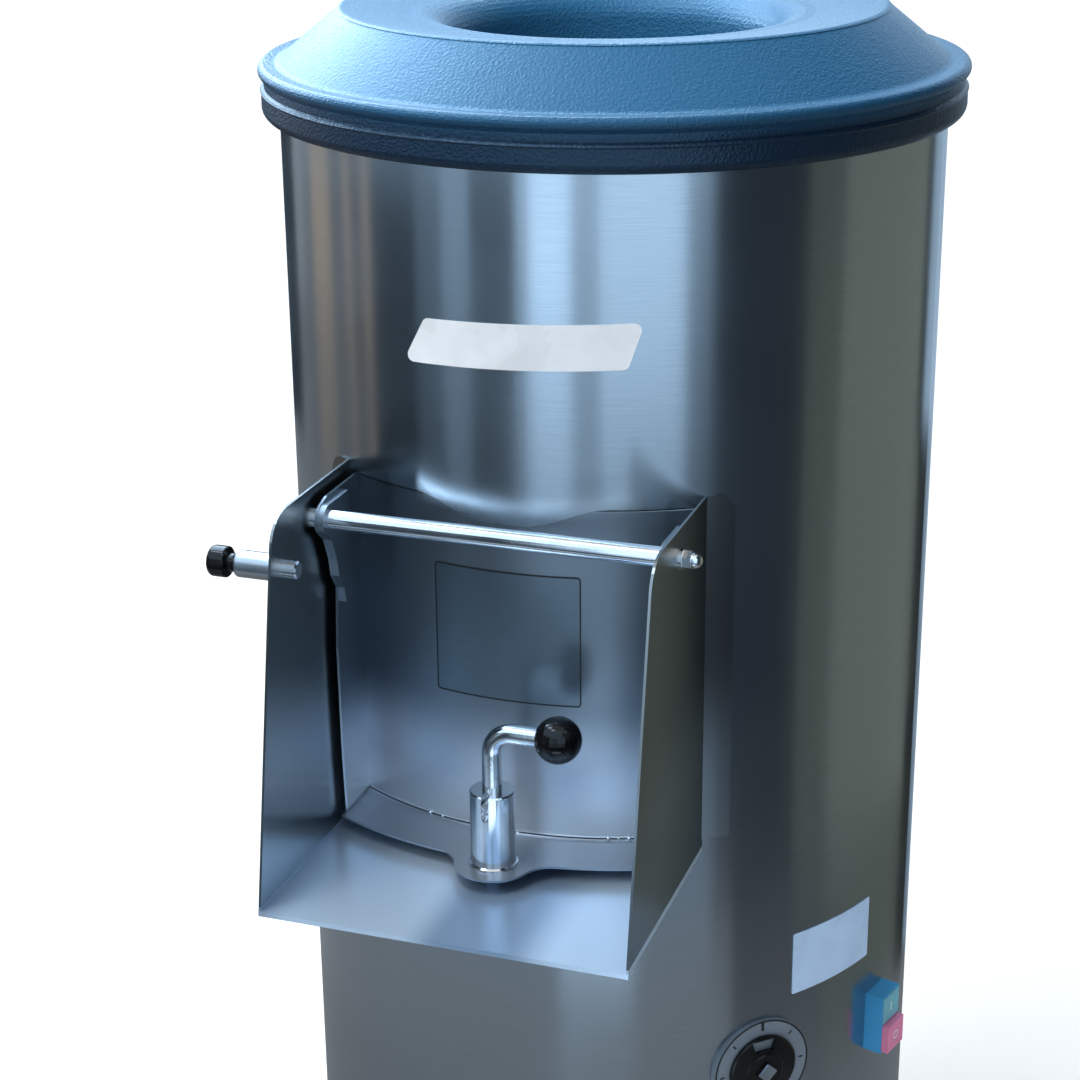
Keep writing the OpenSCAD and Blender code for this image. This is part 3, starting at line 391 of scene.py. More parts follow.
def leather_grain(name, side, top, turn_at, roughness, **sockets):
    """Small round pebbles with finer noise over them. The crown, high and near the axis, is painted paler
    as painted light.
    """
    material = new_finish(name, side, roughness, **sockets)
    tree = material.node_tree
    place = stretched(material)
    pebble = put(tree, "ShaderNodeTexVoronoi", [(place, "Vector")], Scale=620, feature="SMOOTH_F1")
    fine = noise(material, place, scale=1000, detail=3.0)
    parts = put(tree, "ShaderNodeSeparateXYZ", [(place, 0)])
    level = put(tree, "ShaderNodeCombineXYZ", [(parts.outputs["X"], "X"), (parts.outputs["Y"], "Y")])
    out = put(tree, "ShaderNodeVectorMath", [(level.outputs[0], 0)], operation="LENGTH")
    inward = maths(tree, "MULTIPLY_ADD", out.outputs["Value"], CROWN_SLOPE, parts.outputs["Z"])
    blend_colors(material, remap(tree, inward, turn_at, turn_at + CROWN_BLEND), side, top, 0.0, 1.0)
    vary(material, "Roughness", fine, roughness * 0.8, roughness * 1.25)
    raise_surface(material, (pebble.outputs["Distance"], 0.45, 0.0008), (fine, 0.35, 0.0004))
    return material


# Painted light: the top colour of the crown stands for the light falling on the lid's upper faces
lid_plastic = leather_grain("moulded_lid_blue", side=(0.002, 0.011, 0.030), top=(0.010, 0.085, 0.185),
                            turn_at=0.862, roughness=0.38, Specular_Tint=(0.62, 0.86, 1.0, 1),
                            Specular_IOR_Level=0.42)
print("finishes:", len(bpy.data.materials))

# %% [markdown]
# ## Dressing the CAD pieces
#
# A CAD piece whose shape is right only needs its finish. The table below names the finish of each
# one, by the piece's own name.

# %% Give each CAD piece its finish
finishes = {
    stainless: ["body_shell", "top_ring", "drain_spout"],
    cover_steel: ["rear_cover"],
    door_steel: ["door_panel"],
    chute_steel: ["chute"],
    plate_steel: ["door_ears", "motor_plate"],
    bright_steel: ["hinge_rod", "hinge_nuts", "latch_housing", "latch_bolt", "plunger_pin", "cover_screws",
                   "disc_nut"],
    machined_steel: ["plunger_sleeve", "plunger_spring", "latch_pin", "housing_bolts", "upper_bearing",
                     "lower_bearing", "timer_spindle", "drive_shaft", "motor_shaft"],
    cast_aluminium: ["chamber_pan", "peeling_disc", "disc_hub"],
    iron: ["bearing_housing", "driven_pulley", "motor_pulley"],
    brass: ["water_inlet", "inlet_nut"],
    dial_face: ["dial_plate"],
    lid_plastic: ["lid"],
    rubber: ["base_ring", "lid_seal", "door_gasket", "shaft_seal", "drive_belt"],
    black_gloss: ["latch_ball", "plunger_knob"],
    black_satin: ["timer_knob", "cable_gland", "switch_body"],
    cream_plastic: ["timer_body"],
    switch_blue: ["switch_frame"],
    switch_green: ["start_button"],
    switch_red: ["stop_button"],
    motor_paint: ["motor_housing", "terminal_box"],
    abrasive: ["chamber_liner", "disc_grit"],
}

for material, names in finishes.items():
    for name in names:
        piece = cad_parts[name]
        piece.data.materials.clear()
        piece.data.materials.append(material)
bare = set(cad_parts) - {name for names in finishes.values() for name in names}
print("CAD pieces without a finish:", sorted(bare) or "none")

# %% [markdown]
# ## Plates and printed marks
#
# Plates, printed lines and marks are thin slabs. Each slab is drawn flat from its outline, and a line
# or a ring has a second outline for its hole. A slab for a flat face is then put in its place. A slab
# for the drum is cut into narrow strips, so that it can bend, and moved onto the drum's radius. A
# plain blank plate stands wherever a machine has a printed one.

# %% Outlines
CORNER_STEPS = 5


def rounded_outline(corners, radius):
    """Rounds the corners of a convex outline given in order, as a list of points."""
    points = []
    count = len(corners)
    for i, corner in enumerate(corners):
        here = Vector(corner)
        before = (Vector(corners[i - 1]) - here).normalized()
        after = (Vector(corners[(i + 1) % count]) - here).normalized()
        half = before.angle(after) / 2
        reach = radius / math.tan(half)
        centre = here + (before + after).normalized() * (radius / math.sin(half))
        start, end = here + before * reach - centre, here + after * reach - centre
        turn = start.angle_signed(end)
        for k in range(CORNER_STEPS + 1):
            points.append(centre + Matrix.Rotation(-turn * k / CORNER_STEPS, 2) @ start)
    return points


def box_corners(left, low, right, high):
    return [(left, low), (right, low), (right, high), (left, high)]


def box_outline(left, low, right, high, radius, inset=0.0):
    return rounded_outline(box_corners(left + inset, low + inset, right - inset, high - inset), radius)


def circle_outline(radius, count=72):
    turns = [2 * math.pi * k / count for k in range(count)]
    return [Vector((radius * math.cos(turn), radius * math.sin(turn))) for turn in turns]


def turned_outline(points, degrees):
    """The points turned clockwise about the origin."""
    return [Matrix.Rotation(-math.radians(degrees), 2) @ Vector(point) for point in points]


print("outline tools ready")

# %% Slabs
SHARP_DEGREES = 35


def add_slab(work, outer, inner, height):
    """Adds a slab to the bmesh. inner, where given, is the outline of its hole, with as many points."""
    count = len(outer)
    low = [work.verts.new((p[0], p[1], 0)) for p in outer]
    high = [work.verts.new((p[0], p[1], height)) for p in outer]
    if inner:
        low_in = [work.verts.new((p[0], p[1], 0)) for p in inner]
        high_in = [work.verts.new((p[0], p[1], height)) for p in inner]
    else:
        work.faces.new(high)
        work.faces.new(low[::-1])
    for i in range(count):
        j = (i + 1) % count
        work.faces.new((low[i], low[j], high[j], high[i]))
        if inner:
            work.faces.new((high[i], high[j], high_in[j], high_in[i]))
            work.faces.new((low_in[i], low_in[j], low[j], low[i]))
            work.faces.new((low_in[j], low_in[i], high_in[i], high_in[j]))


def add_piece(name, mesh, body):
    """Makes a mesh, smooth but for its sharp edges, a piece that rides on a body."""
    mesh.shade_smooth()
    mesh.set_sharp_from_angle(angle=math.radians(SHARP_DEGREES))
    piece = bpy.data.objects.new(name, mesh)
    bpy.context.collection.objects.link(piece)
    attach(piece, body)


print("slab tools ready")

# %% Put slabs in place
STRIP_W = 5
FEWEST_STRIPS = 4
CUT_TOLERANCE = 1e-4


def on_side(angle, z, out):
    """A place on the machine's side, in mm: local X runs along the sheet, Y up and Z outwards."""
    return (Matrix.Rotation(math.radians(angle), 4, "Z") @ Matrix.Translation((0, -out * MM, z * MM))
            @ Matrix.Rotation(math.radians(90), 4, "X"))


def bend(work, radius):
    """Cuts flat slabs into strips and bends them round the Z axis, with Y turned into the height."""
    left, right = min(v.co.x for v in work.verts), max(v.co.x for v in work.verts)
    strips = max(FEWEST_STRIPS, round((right - left) / STRIP_W))
    for k in range(1, strips):
        everything = work.verts[:] + work.edges[:] + work.faces[:]
        bmesh.ops.bisect_plane(work, geom=everything, dist=CUT_TOLERANCE,
                               plane_co=(left + (right - left) * k / strips, 0, 0), plane_no=(1, 0, 0))
    for vertex in work.verts:
        angle = vertex.co.x / radius
        out = radius + vertex.co.z
        vertex.co = Vector((out * math.sin(angle), -out * math.cos(angle), vertex.co.y))


def thin_piece(name, slabs, finish, body, place=None, around=None):
    """Slabs, each (outline, hole or None, height in mm), at a flat place or around a drum radius."""
    work = bmesh.new()
    for outer, inner, height in slabs:
        add_slab(work, outer, inner, height)
    if around:
        bend(work, around)
    bmesh.ops.recalc_face_normals(work, faces=work.faces)
    bmesh.ops.scale(work, vec=(MM, MM, MM), verts=work.verts)
    if place:
        bmesh.ops.transform(work, matrix=place, verts=work.verts)
    mesh = bpy.data.meshes.new(name)
    work.to_mesh(mesh)
    work.free()
    mesh.materials.append(finish)
    add_piece(name, mesh, body)


print("placing tools ready")

# %% [markdown]
# The name plate is a leaning blank, the information plate an upright one, and the plate on the door
# is etched steel with a thin printed border, so that it hardly stands out from the sheet. Their
# outlines are in millimetres: the way round the sheet from the front, and the height.

# %% Blank plates
DRUM_R = 210.0
DOOR_R = 208.0
NAME_T, INFO_T, DOOR_T, BORDER_T = 0.5, 0.4, 0.3, 0.45
BORDER = 0.9


def way_round(angle):
    """Millimetres round the drum from the front, for an angle in degrees."""
    return math.radians(angle) * DRUM_R


name_corners = [(way_round(-17.9), 836.4), (way_round(19.8), 841.6), (way_round(22.4), 868.9),
                (way_round(-13.6), 864.0)]
thin_piece("name_plate", [(rounded_outline(name_corners, radius=4), None, NAME_T)], label_white, "cabinet",
           around=DRUM_R)

info_box = (way_round(50.8), 413.5, way_round(70.8), 457.3)
thin_piece("info_plate", [(box_outline(*info_box, radius=1.2), None, INFO_T)], pale_plate_in_shade, "cabinet",
           around=DRUM_R)

door_box = (-48.3, 630.3, 44.9, 714.0)
door_outline = box_outline(*door_box, radius=2.5)
door_hole = box_outline(*door_box, radius=1.6, inset=BORDER)
thin_piece("door_plate", [(door_outline, None, DOOR_T)], etched_plate, "door", around=DOOR_R)
thin_piece("door_plate_border", [(door_outline, door_hole, BORDER_T)], ink, "door",
           around=DOOR_R)
print("plates: name, information, door")

# %% [markdown]
# The dial is a satin plate with a printed rim line and a mark at every eighth of a turn. The mark at
# the top, where the timer is off, is bold. The knob carries a square cap of bright aluminium.

# %% Dial marks and knob cap
DIAL_ANGLE, DIAL_Z, DIAL_OUT = 44.5, 367.5, 212.5
INK_T = 0.15
RIM_R, RIM_HOLE_R = 34.3, 33.2
BOLD_TICK, PLAIN_TICK = (0.9, 27.2, 33.6), (0.55, 27.6, 30.6)  # half width, inner end, outer end

rim = (circle_outline(RIM_R), circle_outline(RIM_HOLE_R), INK_T)
ticks = []
for eighth in range(8):
    half, inner_end, outer_end = PLAIN_TICK if eighth else BOLD_TICK
    tick = turned_outline(box_corners(-half, inner_end, half, outer_end), 45 * eighth)
    ticks.append((tick, None, INK_T))
thin_piece("dial_marks", [rim] + ticks, ink, "cabinet",
           place=on_side(DIAL_ANGLE, DIAL_Z, DIAL_OUT))

KNOB_FOOT, KNOB_H = 0.5, 7.0
CAP_CORNER, CAP_STEP = 0.7, 0.5
CAP_T, CAP_TOP_T = 0.3, 0.5
cap_box = (-5.0, -5.0, 5.0, 5.0)
cap = turned_outline(box_outline(*cap_box, CAP_CORNER), 45)
cap_top = turned_outline(box_outline(*cap_box, CAP_CORNER, CAP_STEP), 45)
thin_piece("knob_cap", [(cap, None, CAP_T), (cap_top, None, CAP_TOP_T)], cap_metal, "timer",
           place=on_side(DIAL_ANGLE, DIAL_Z, DIAL_OUT + KNOB_FOOT + KNOB_H))
print("dial marks:", len(ticks), "ticks and a rim line")

# %% [markdown]
# The keys carry the plain bar and ring that stand for on and off.

# %% Marks on the keys
SWITCH_ANGLE, SWITCH_Z, SWITCH_OUT = 74.5, 361.5, 12.6
KEY_PITCH = 20.6
START_PROUD, STOP_PROUD = 0.4, 4.7
MARK_R, MARK_HOLE_R, BAR_HALF = 3.2, 2.4, 0.5
MARK_POINTS = 32

bar = box_corners(-BAR_HALF, -MARK_R, BAR_HALF, MARK_R)
thin_piece("start_mark", [(bar, None, INK_T)], label_white, "start",
           place=on_side(SWITCH_ANGLE, SWITCH_Z + KEY_PITCH / 2, DRUM_R + SWITCH_OUT + START_PROUD))
ring = (circle_outline(MARK_R, MARK_POINTS), circle_outline(MARK_HOLE_R, MARK_POINTS), INK_T)
thin_piece("stop_mark", [ring], label_white, "stop",
           place=on_side(SWITCH_ANGLE, SWITCH_Z - KEY_PITCH / 2, DRUM_R + SWITCH_OUT + STOP_PROUD))
print("key marks made")

# %% [markdown]
# ## Small things that repeat
#
# Threads, weld tacks and grit repeat one small shape, so trees of Geometry Nodes make them. A tree
# has named inputs, and each run of it is turned into a plain mesh at once.

# %% Tools for node trees
def new_tree(name, *inputs):
    """A tree with named inputs, each (name, kind, value), and its two end nodes."""
    tree = bpy.data.node_groups.new(name, "GeometryNodeTree")
    tree.interface.new_socket("Geometry", in_out="INPUT", socket_type="NodeSocketGeometry")
    for label, kind, value in inputs:
        socket = tree.interface.new_socket(label, in_out="INPUT", socket_type="NodeSocket" + kind)
        if value is not None:
            socket.default_value = value
    tree.interface.new_socket("Geometry", in_out="OUTPUT", socket_type="NodeSocketGeometry")
    return tree, tree.nodes.new("NodeGroupInput"), tree.nodes.new("NodeGroupOutput")


def random_between(tree, kind, low, high, seed):
    """The result of a Random Value node with a fixed seed."""
    node = put(tree, "FunctionNodeRandomValue", data_type=kind)
    for label, value in (("Min", low), ("Max", high), ("Seed", seed)):
        next(s for s in node.inputs if s.name == label and s.enabled).default_value = value
    return next(s for s in node.outputs if s.enabled)


def close_tree(tree, geometry, group_in, group_out):
    """Ends a tree with Realize Instances and Set Material."""
    real = put(tree, "GeometryNodeRealizeInstances", [(geometry, 0)])
    done = put(tree, "GeometryNodeSetMaterial", [(real.outputs[0], "Geometry"),
                                                 (group_in.outputs["Finish"], "Material")])
    tree.links.new(done.outputs[0], group_out.inputs[0])


def grow(name, tree, body, slot, source=None, **settings):
    """Runs a tree on a source mesh and makes the result a piece of its own."""
    holder = bpy.data.objects.new(name + "_seed", source or bpy.data.meshes.new(name + "_seed"))
    bpy.context.collection.objects.link(holder)
    modifier = holder.modifiers.new("grow", "NODES")
    modifier.node_group = tree
    for item in tree.interface.items_tree:
        if item.in_out == "INPUT" and item.name.replace(" ", "_") in settings:
            modifier[item.identifier] = settings[item.name.replace(" ", "_")]
    view = bpy.context.evaluated_depsgraph_get()
    mesh = bpy.data.meshes.new_from_object(holder.evaluated_get(view))
    mesh.name = name
    bpy.data.objects.remove(holder)
    add_piece(name, mesh, body)
    print(name, "triangles:", sum(len(face.vertices) - 2 for face in mesh.polygons))


print("tree tools ready")

# %% [markdown]
# The water connection ends in a pipe thread. A spiral curve carries a small square profile, so that a
# ridge runs round and round the stub as a cut thread does.

# %% Thread on the water connection
thread_tree, into, out = new_tree(
    "thread", ("Radius", "Float", 0.01), ("Pitch", "Float", 0.0018), ("Length", "Float", 0.02),
    ("Crest", "Float", 0.0006), ("Start", "Vector", (0, 0, 0)), ("Turn", "Vector", (0, 0, 0)),
    ("Finish", "Material", None))
turns = maths(thread_tree, "DIVIDE", into.outputs["Length"], into.outputs["Pitch"])
spiral = put(thread_tree, "GeometryNodeCurveSpiral",
             [(turns, "Rotations"), (into.outputs["Radius"], "Start Radius"),
              (into.outputs["Radius"], "End Radius"), (into.outputs["Length"], "Height")], Resolution=40)
profile = put(thread_tree, "GeometryNodeCurvePrimitiveCircle", [(into.outputs["Crest"], "Radius")],
              Resolution=4)
ridge = put(thread_tree, "GeometryNodeCurveToMesh",
            [(spiral.outputs[0], "Curve"), (profile.outputs[0], "Profile Curve")], Fill_Caps=True)
placed = put(thread_tree, "GeometryNodeTransform",
             [(ridge.outputs[0], "Geometry"), (into.outputs["Start"], "Translation"),
              (into.outputs["Turn"], "Rotation")])
close_tree(thread_tree, placed.outputs[0], into, out)
grow("inlet_thread", thread_tree, "cabinet", "brass", Radius=0.0104, Pitch=0.0018, Length=0.0195,
     Crest=0.0006, Start=(0, 0.2455, 0.930), Turn=(math.radians(90), 0, 0), Finish=brass)

# %% [markdown]
# The rolled face of the door meets its lower flange in a bend that is held by a few weld tacks. A
# thin dark line along the bend is painted shade for its crease, laid over the fillet's bright
# reflection. The line follows an arc, and the tacks sit on points along it.

# %% Tree for a seam with tacks
seam_tree, into, out = new_tree(
    "seam", ("Radius", "Float", 0.2), ("First Angle", "Float", 0.0), ("Sweep", "Float", 1.0),
    ("Height", "Float", 0.5), ("Line", "Float", 0.0003), ("Tacks", "Int", 0),
    ("Tack Size", "Float", 0.001), ("Finish", "Material", None))
arc = put(seam_tree, "GeometryNodeCurveArc",
          [(into.outputs["Radius"], "Radius"), (into.outputs["First Angle"], "Start Angle"),
           (into.outputs["Sweep"], "Sweep Angle")], Resolution=40)
lift = put(seam_tree, "ShaderNodeCombineXYZ", [(into.outputs["Height"], "Z")])
path = put(seam_tree, "GeometryNodeTransform",
           [(arc.outputs[0], "Geometry"), (lift.outputs[0], "Translation")])
section = put(seam_tree, "GeometryNodeCurvePrimitiveCircle", [(into.outputs["Line"], "Radius")],
              Resolution=6)
line = put(seam_tree, "GeometryNodeCurveToMesh",
           [(path.outputs[0], "Curve"), (section.outputs[0], "Profile Curve")], Fill_Caps=True)
spots = put(seam_tree, "GeometryNodeResampleCurve",
            [(path.outputs[0], "Curve"), (into.outputs["Tacks"], "Count")])
tack = put(seam_tree, "GeometryNodeMeshIcoSphere", [(into.outputs["Tack Size"], "Radius")],
           Subdivisions=2)
tacks = put(seam_tree, "GeometryNodeInstanceOnPoints",
            [(spots.outputs[0], "Points"), (tack.outputs[0], "Instance"),
             (random_between(seam_tree, "FLOAT", 0.6, 1.2, seed=4), "Scale")])
joined = put(seam_tree, "GeometryNodeJoinGeometry", [(line.outputs[0], 0), (tacks.outputs[0], 0)])
close_tree(seam_tree, joined.outputs[0], into, out)
print("seam tree ready")

# %% Painted-shade line and weld tacks in the door's bend
BEND_R, BEND_Z = 0.2091, 0.5431
LINE_R, HIDDEN_LINE_R, HIDDEN_TACK_R = 0.0004, 0.0001, 0.0002
FRONT = 90

# Each: first and last angle from the front, line radius, number and radius of the tacks, finish, slot
# The two lines are painted shade: dark lines laid along the crease, over the bend's bright fillet
seams = {"seam_left": (-31.0, -5.0, LINE_R, 1, HIDDEN_TACK_R, rubber, "rubber"),
         "seam_right": (1.5, 31.0, LINE_R, 1, HIDDEN_TACK_R, rubber, "rubber"),
         "tacks_left": (-15.5, -12.9, HIDDEN_LINE_R, 2, 0.0015, bright_steel, "stainless"),
         "tacks_right": (16.8, 20.3, HIDDEN_LINE_R, 3, 0.0016, bright_steel, "stainless")}
for name, (first, last, line_radius, count, tack_radius, finish, slot) in seams.items():
    grow(name, seam_tree, "door", slot, Radius=BEND_R, First_Angle=math.radians(first - FRONT),
         Sweep=math.radians(last - first), Height=BEND_Z, Line=line_radius, Tacks=count,
         Tack_Size=tack_radius, Finish=finish)

# %% [markdown]
# The disc that peels is coated with grit: grains of many sizes, scattered over every face that looks
# up and set at random angles in resin.

# %% Grit on the disc
LOOKS_UP = 0.15
FULL_TURN = 6.28

grit_tree, into, out = new_tree(
    "grit", ("Density", "Float", 30000.0), ("Grain", "Float", 0.001), ("Seed", "Int", 7),
    ("Finish", "Material", None))
facing = put(grit_tree, "GeometryNodeInputNormal")
upward = put(grit_tree, "ShaderNodeSeparateXYZ", [(facing.outputs[0], 0)])
top_only = put(grit_tree, "FunctionNodeCompare", [(upward.outputs["Z"], "A")], data_type="FLOAT",
               operation="GREATER_THAN")
top_only.inputs["B"].default_value = LOOKS_UP
scatter = put(grit_tree, "GeometryNodeDistributePointsOnFaces",
              [(into.outputs["Geometry"], "Mesh"), (top_only.outputs[0], "Selection"),
               (into.outputs["Density"], "Density"), (into.outputs["Seed"], "Seed")])
grain = put(grit_tree, "GeometryNodeMeshIcoSphere", [(into.outputs["Grain"], "Radius")], Subdivisions=1)
spin = random_between(grit_tree, "FLOAT_VECTOR", (0, 0, 0), (FULL_TURN,) * 3, seed=2)
girth = random_between(grit_tree, "FLOAT_VECTOR", (0.5, 0.5, 0.4), (1.3, 1.2, 0.9), seed=3)
grains = put(grit_tree, "GeometryNodeInstanceOnPoints",
             [(scatter.outputs[0], "Points"), (grain.outputs[0], "Instance"), (spin, "Rotation"),
              (girth, "Scale")])
close_tree(grit_tree, grains.outputs[0], into, out)
grow("grit_grains", grit_tree, "disc", "abrasive", source=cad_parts["disc_grit"].data.copy(),
     Density=32000.0, Grain=0.0009, Seed=7, Finish=abrasive)

# %% [markdown]
# ## Studio
#
# Soft lamps light the machine at a plain level, over a floor that is so pale that it turns white.
# Polished sheet shows what stands round it more than it shows the lamps, so a ring of upright cards
# does that work, as in a studio for metal: pale cards make the tall bright bands and dark cards the
# bands between them. Only reflections see the cards.
#
# The floor glows a little, by just so much that lit floor turns white: less near the foot, where the
# machine's shadow stays, and more far off, where the lamps hardly reach.

# %% Tools for the studio
def stage_mesh(name, verts, faces, material):
    mesh = bpy.data.meshes.new(name)
    mesh.from_pydata(verts, [], faces)
    mesh.materials.append(material)
    thing = bpy.data.objects.new(name, mesh)
    bpy.context.collection.objects.link(thing)
    return thing


def background_rays(tree):
    """1 for rays that show the background: camera, glossy and transmission rays."""
    rays = put(tree, "ShaderNodeLightPath").outputs
    seen = maths(tree, "MAXIMUM", rays["Is Camera Ray"], rays["Is Glossy Ray"])
    return maths(tree, "MAXIMUM", seen, rays["Is Transmission Ray"])


print("studio tools ready")

# %% Floor
FLOOR_HALF = 30.0
FLOOR_GREY = 0.80
NEAR, FAR = 0.8, 4.0
NEAR_GLOW, FAR_GLOW, MIRRORED_GLOW = 0.34, 0.72, 0.69

floor_paint = bpy.data.materials.new("pale_floor")
floor_paint.use_nodes = True
tree = floor_paint.node_tree
tree.nodes.clear()
matt = put(tree, "ShaderNodeBsdfDiffuse", Color=(FLOOR_GREY, FLOOR_GREY, FLOOR_GREY, 1))
place = put(tree, "ShaderNodeTexCoord")
away = put(tree, "ShaderNodeVectorMath", [(place.outputs["Object"], 0)], operation="LENGTH")
seen = remap(tree, away.outputs["Value"], NEAR, FAR, NEAR_GLOW, FAR_GLOW)
rays = put(tree, "ShaderNodeLightPath")
mirrored = maths(tree, "MULTIPLY", rays.outputs["Is Glossy Ray"], MIRRORED_GLOW)
glow = put(tree, "ShaderNodeEmission", [(maths(tree, "MAXIMUM", seen, mirrored), "Strength")],
           Color=(1, 1, 1, 1))
dark = put(tree, "ShaderNodeEmission", Color=(0, 0, 0, 1), Strength=0)
shown = put(tree, "ShaderNodeMixShader",
            [(background_rays(tree), 0), (dark.outputs[0], 1), (glow.outputs[0], 2)])
both = put(tree, "ShaderNodeAddShader", [(matt.outputs[0], 0), (shown.outputs[0], 1)])
put(tree, "ShaderNodeOutputMaterial", [(both.outputs[0], "Surface")])
corners = box_corners(-FLOOR_HALF, -FLOOR_HALF, FLOOR_HALF, FLOOR_HALF)
floor = stage_mesh("floor", [(x, y, 0) for x, y in corners], [(0, 1, 2, 3)], floor_paint)
print("floor:", floor.name)

# %% World
SKY = (0.86, 0.93, 1.0)
SKY_STRENGTH = 0.45

world = bpy.data.worlds.new("studio")
bpy.context.scene.world = world
world.use_nodes = True
tree = world.node_tree
tree.nodes.clear()
soft = put(tree, "ShaderNodeBackground", Color=(*SKY, 1), Strength=SKY_STRENGTH)
white = put(tree, "ShaderNodeBackground", Color=(1, 1, 1, 1), Strength=1.0)
mixed = put(tree, "ShaderNodeMixShader",
            [(background_rays(tree), 0), (soft.outputs[0], 1), (white.outputs[0], 2)])
put(tree, "ShaderNodeOutputWorld", [(mixed.outputs[0], "Surface")])
print("world:", world.name)

# %% [markdown]
# A card is an upright strip of a cylinder round the machine, and a row of cards goes all the way
# round at one span of heights. Its directions are in degrees from the front towards the right, and
# each card has its own strength and tint.

# %% Tools for cards
RING_R = 0.70
STEP_DEGREES = 3
COOL = (0.72, 0.97, 1.24)
GREY = (0.92, 1.0, 1.08)
WARM = (1.15, 0.92, 0.72)
OLIVE = (0.92, 1.04, 0.90)


def only_for_reflections(thing):
    thing.visible_camera = False
    thing.visible_diffuse = False
    thing.visible_shadow = False
    thing.visible_transmission = False


def glowing(name, strength, tint):
    """A material that only glows."""
    material = bpy.data.materials.new(name)
    material.use_nodes = True
    tree = material.node_tree
    tree.nodes.clear()
    light = put(tree, "ShaderNodeEmission", Color=(*tint, 1), Strength=strength)
    put(tree, "ShaderNodeOutputMaterial", [(light.outputs[0], "Surface")])
    return material


def card(name, start, end, low, high, strength, tint, radius=RING_R):
    """An upright curved card between two directions and two heights."""
    steps = max(2, round(abs(end - start) / STEP_DEGREES))
    verts, faces = [], []
    for k in range(steps + 1):
        angle = math.radians(start + (end - start) * k / steps)
        for z in (low, high):
            verts.append((radius * math.sin(angle), -radius * math.cos(angle), z))
    for k in range(steps):
        faces.append((2 * k, 2 * k + 2, 2 * k + 3, 2 * k + 1))
    only_for_reflections(stage_mesh(name, verts, faces, glowing(name, strength, tint)))


def row_of_cards(prefix, low, high, row):
    """Cards side by side from BACK on, each (direction of its end, strength, tint)."""
    start = BACK
    for k, (end, strength, tint) in enumerate(row):
        card(prefix + "_" + str(k), start, end, low, high, strength, tint)
        start = end


print("card tools ready")

# %% Rows of cards for the steel to mirror
BACK = -160
FOOT, LOW, MIDDLE, UPPER, HIGH, TOP = 0.22, 0.38, 0.56, 0.70, 0.92, 2.0
DIMMED = 0.58

RIGHT = [(76, 0.05, COOL), (90, 0.15, OLIVE)]
RIGHT_HIGH = RIGHT + [(137, 0.26, OLIVE), (143, 0.02, GREY), (200, 0.60, COOL)]
RIGHT_LOW = RIGHT + [(140, 0.25, OLIVE), (157, 0.02, GREY), (200, 0.55, COOL)]
BANDS = [(-109, 0.03, COOL), (-100, 0.34, GREY), (-92, 0.26, GREY), (-80, 0.46, WARM),
         (-72, 0.20, GREY), (-69, 0.50, WARM), (-63, 0.16, GREY), (-60, 0.50, WARM),
         (-42, 0.06, COOL), (-33, 0.20, COOL), (-24, 0.46, COOL), (-10, 0.11, COOL),
         (-6, 0.80, COOL), (6, 1.70, COOL), (14, 0.70, COOL), (38, 1.40, COOL), (46, 0.40, COOL)]
DIM_BANDS = [(end, round(DIMMED * strength, 3), tint) for end, strength, tint in BANDS]

row_of_cards("card_foot", 0, FOOT, [(56, 0.31, GREY), (92, 0.13, GREY), (140, 0.15, OLIVE),
                                    (157, 0.02, GREY), (200, 0.50, COOL)])
row_of_cards("card_low", FOOT, LOW, [(-62, 0.30, GREY), (2, 0.50, COOL), (24, 2.10, COOL),
                                     (48, 0.40, COOL)] + RIGHT_LOW)
row_of_cards("card_middle", LOW, MIDDLE, [(-62, 0.22, GREY), (12, 0.10, COOL),
                                          (48, 0.04, COOL)] + RIGHT_LOW)
row_of_cards("card_upper", MIDDLE, UPPER, DIM_BANDS + RIGHT_HIGH)
row_of_cards("card_high", UPPER, HIGH, BANDS + RIGHT_HIGH)
row_of_cards("card_top", HIGH, TOP, [(-135, 1.20, COOL), (-88, 2.00, COOL), (-60, 1.00, COOL),
                                     (45, 1.60, COOL), (140, 0.06, COOL), (178, 1.20, COOL),
                                     (200, 1.70, COOL)])
print("rows of cards made")

# %% [markdown]
# A few strong cards hang just inside the ring, for the lid's sheen, its ridge and its rim. A grey mat
# round the foot keeps the white floor out of the lower sheet.

# %% Cards for the lid, and the mat
NEAR_R = RING_R - 0.01
MAT_IN, MAT_Z, MAT_STRENGTH, SIDES = 0.24, 0.002, 0.24, 48

card("card_lid_sheen", -135, -84, 1.10, 2.15, 9.0, COOL, radius=NEAR_R)
card("card_lid_ridge", -175, -135, 1.45, 2.15, 9.0, COOL, radius=NEAR_R)
card("card_lid_front", -84, -76, 1.10, 1.70, 4.5, COOL, radius=NEAR_R)
card("card_window_left", -72, -34, 1.62, 1.98, 10.0, COOL, radius=NEAR_R)
card("card_window_right", -28, 2, 1.62, 1.98, 10.0, COOL, radius=NEAR_R)

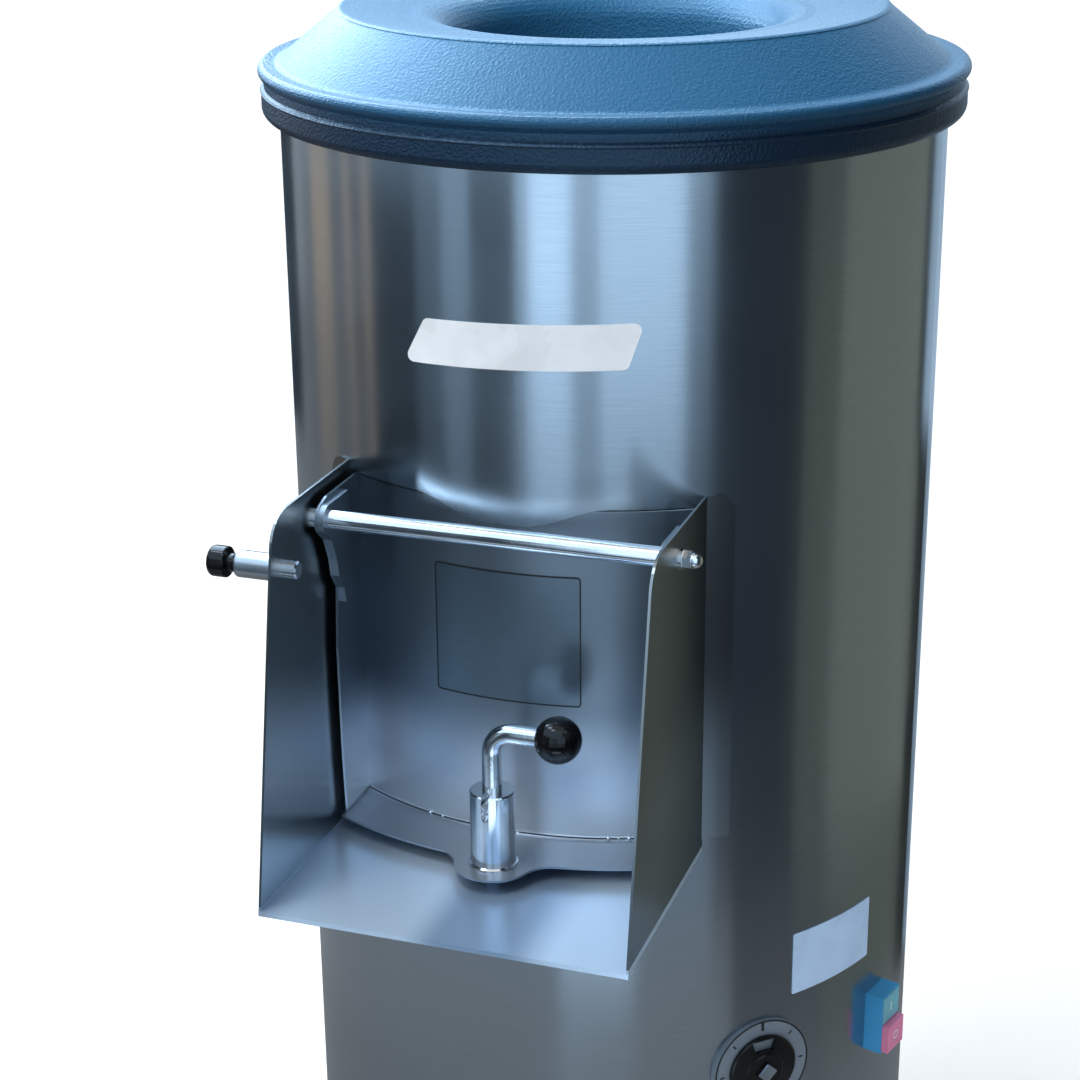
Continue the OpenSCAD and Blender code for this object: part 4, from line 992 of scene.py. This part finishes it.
ring = [(math.cos(2 * math.pi * k / SIDES), math.sin(2 * math.pi * k / SIDES)) for k in range(SIDES)]
mat = stage_mesh("card_mat", [(r * x, r * y, MAT_Z) for r in (MAT_IN, RING_R) for x, y in ring],
                 [(k, (k + 1) % SIDES, SIDES + (k + 1) % SIDES, SIDES + k) for k in range(SIDES)],
                 glowing("card_mat", MAT_STRENGTH, GREY))
only_for_reflections(mat)
print("cards:", len([m for m in bpy.data.materials if m.name.startswith("card")]))

# %% Lamps
def lamp(name, location, target, size, power, color):
    """A soft rectangular lamp that looks at a target; mirrors don't show it."""
    light = bpy.data.lights.new(name, "AREA")
    light.shape = "RECTANGLE"
    light.size, light.size_y = size
    light.energy = power
    light.color = color
    thing = bpy.data.objects.new(name, light)
    thing.location = location
    thing.rotation_euler = (Vector(target) - Vector(location)).to_track_quat("-Z", "Y").to_euler()
    thing.visible_glossy = False
    bpy.context.collection.objects.link(thing)


lamp("key_lamp", (-1.6, -2.2, 2.6), (0, 0, 0.7), size=(1.4, 1.4), power=38, color=(0.96, 0.98, 1.0))
lamp("fill_lamp", (2.4, -1.2, 1.8), (0, 0, 0.6), size=(1.2, 1.8), power=8, color=(0.92, 0.96, 1.0))
lamp("top_lamp", (-0.7, -0.3, 2.9), (0, 0, 0.9), size=(1.6, 1.2), power=60, color=(0.94, 0.97, 1.0))
print("lamps:", len(bpy.data.lights))

# %% [markdown]
# ## Camera
#
# The camera stands in front of the machine and a little to its right, at head height, and looks down
# at the door. A long lens keeps the drum's sides nearly parallel.

# %% Camera
SENSOR, LENS = 36, 77.46
CAMERA_AT = (0.4418, -1.4071, 1.2163)
HEADING, PITCH, ROLL = 19.337, 20.677, -0.602

camera = bpy.data.objects.new("camera", bpy.data.cameras.new("camera"))
camera.data.sensor_width = SENSOR
camera.data.lens = LENS
turn = (Matrix.Rotation(math.radians(HEADING), 4, "Z") @ Matrix.Rotation(math.radians(90 - PITCH), 4, "X")
        @ Matrix.Rotation(math.radians(ROLL), 4, "Z"))
camera.matrix_world = Matrix.Translation(CAMERA_AT) @ turn
bpy.context.collection.objects.link(camera)
bpy.context.scene.camera = camera
bpy.context.scene.view_settings.view_transform = "Standard"
print("camera at", tuple(round(v, 3) for v in camera.location))
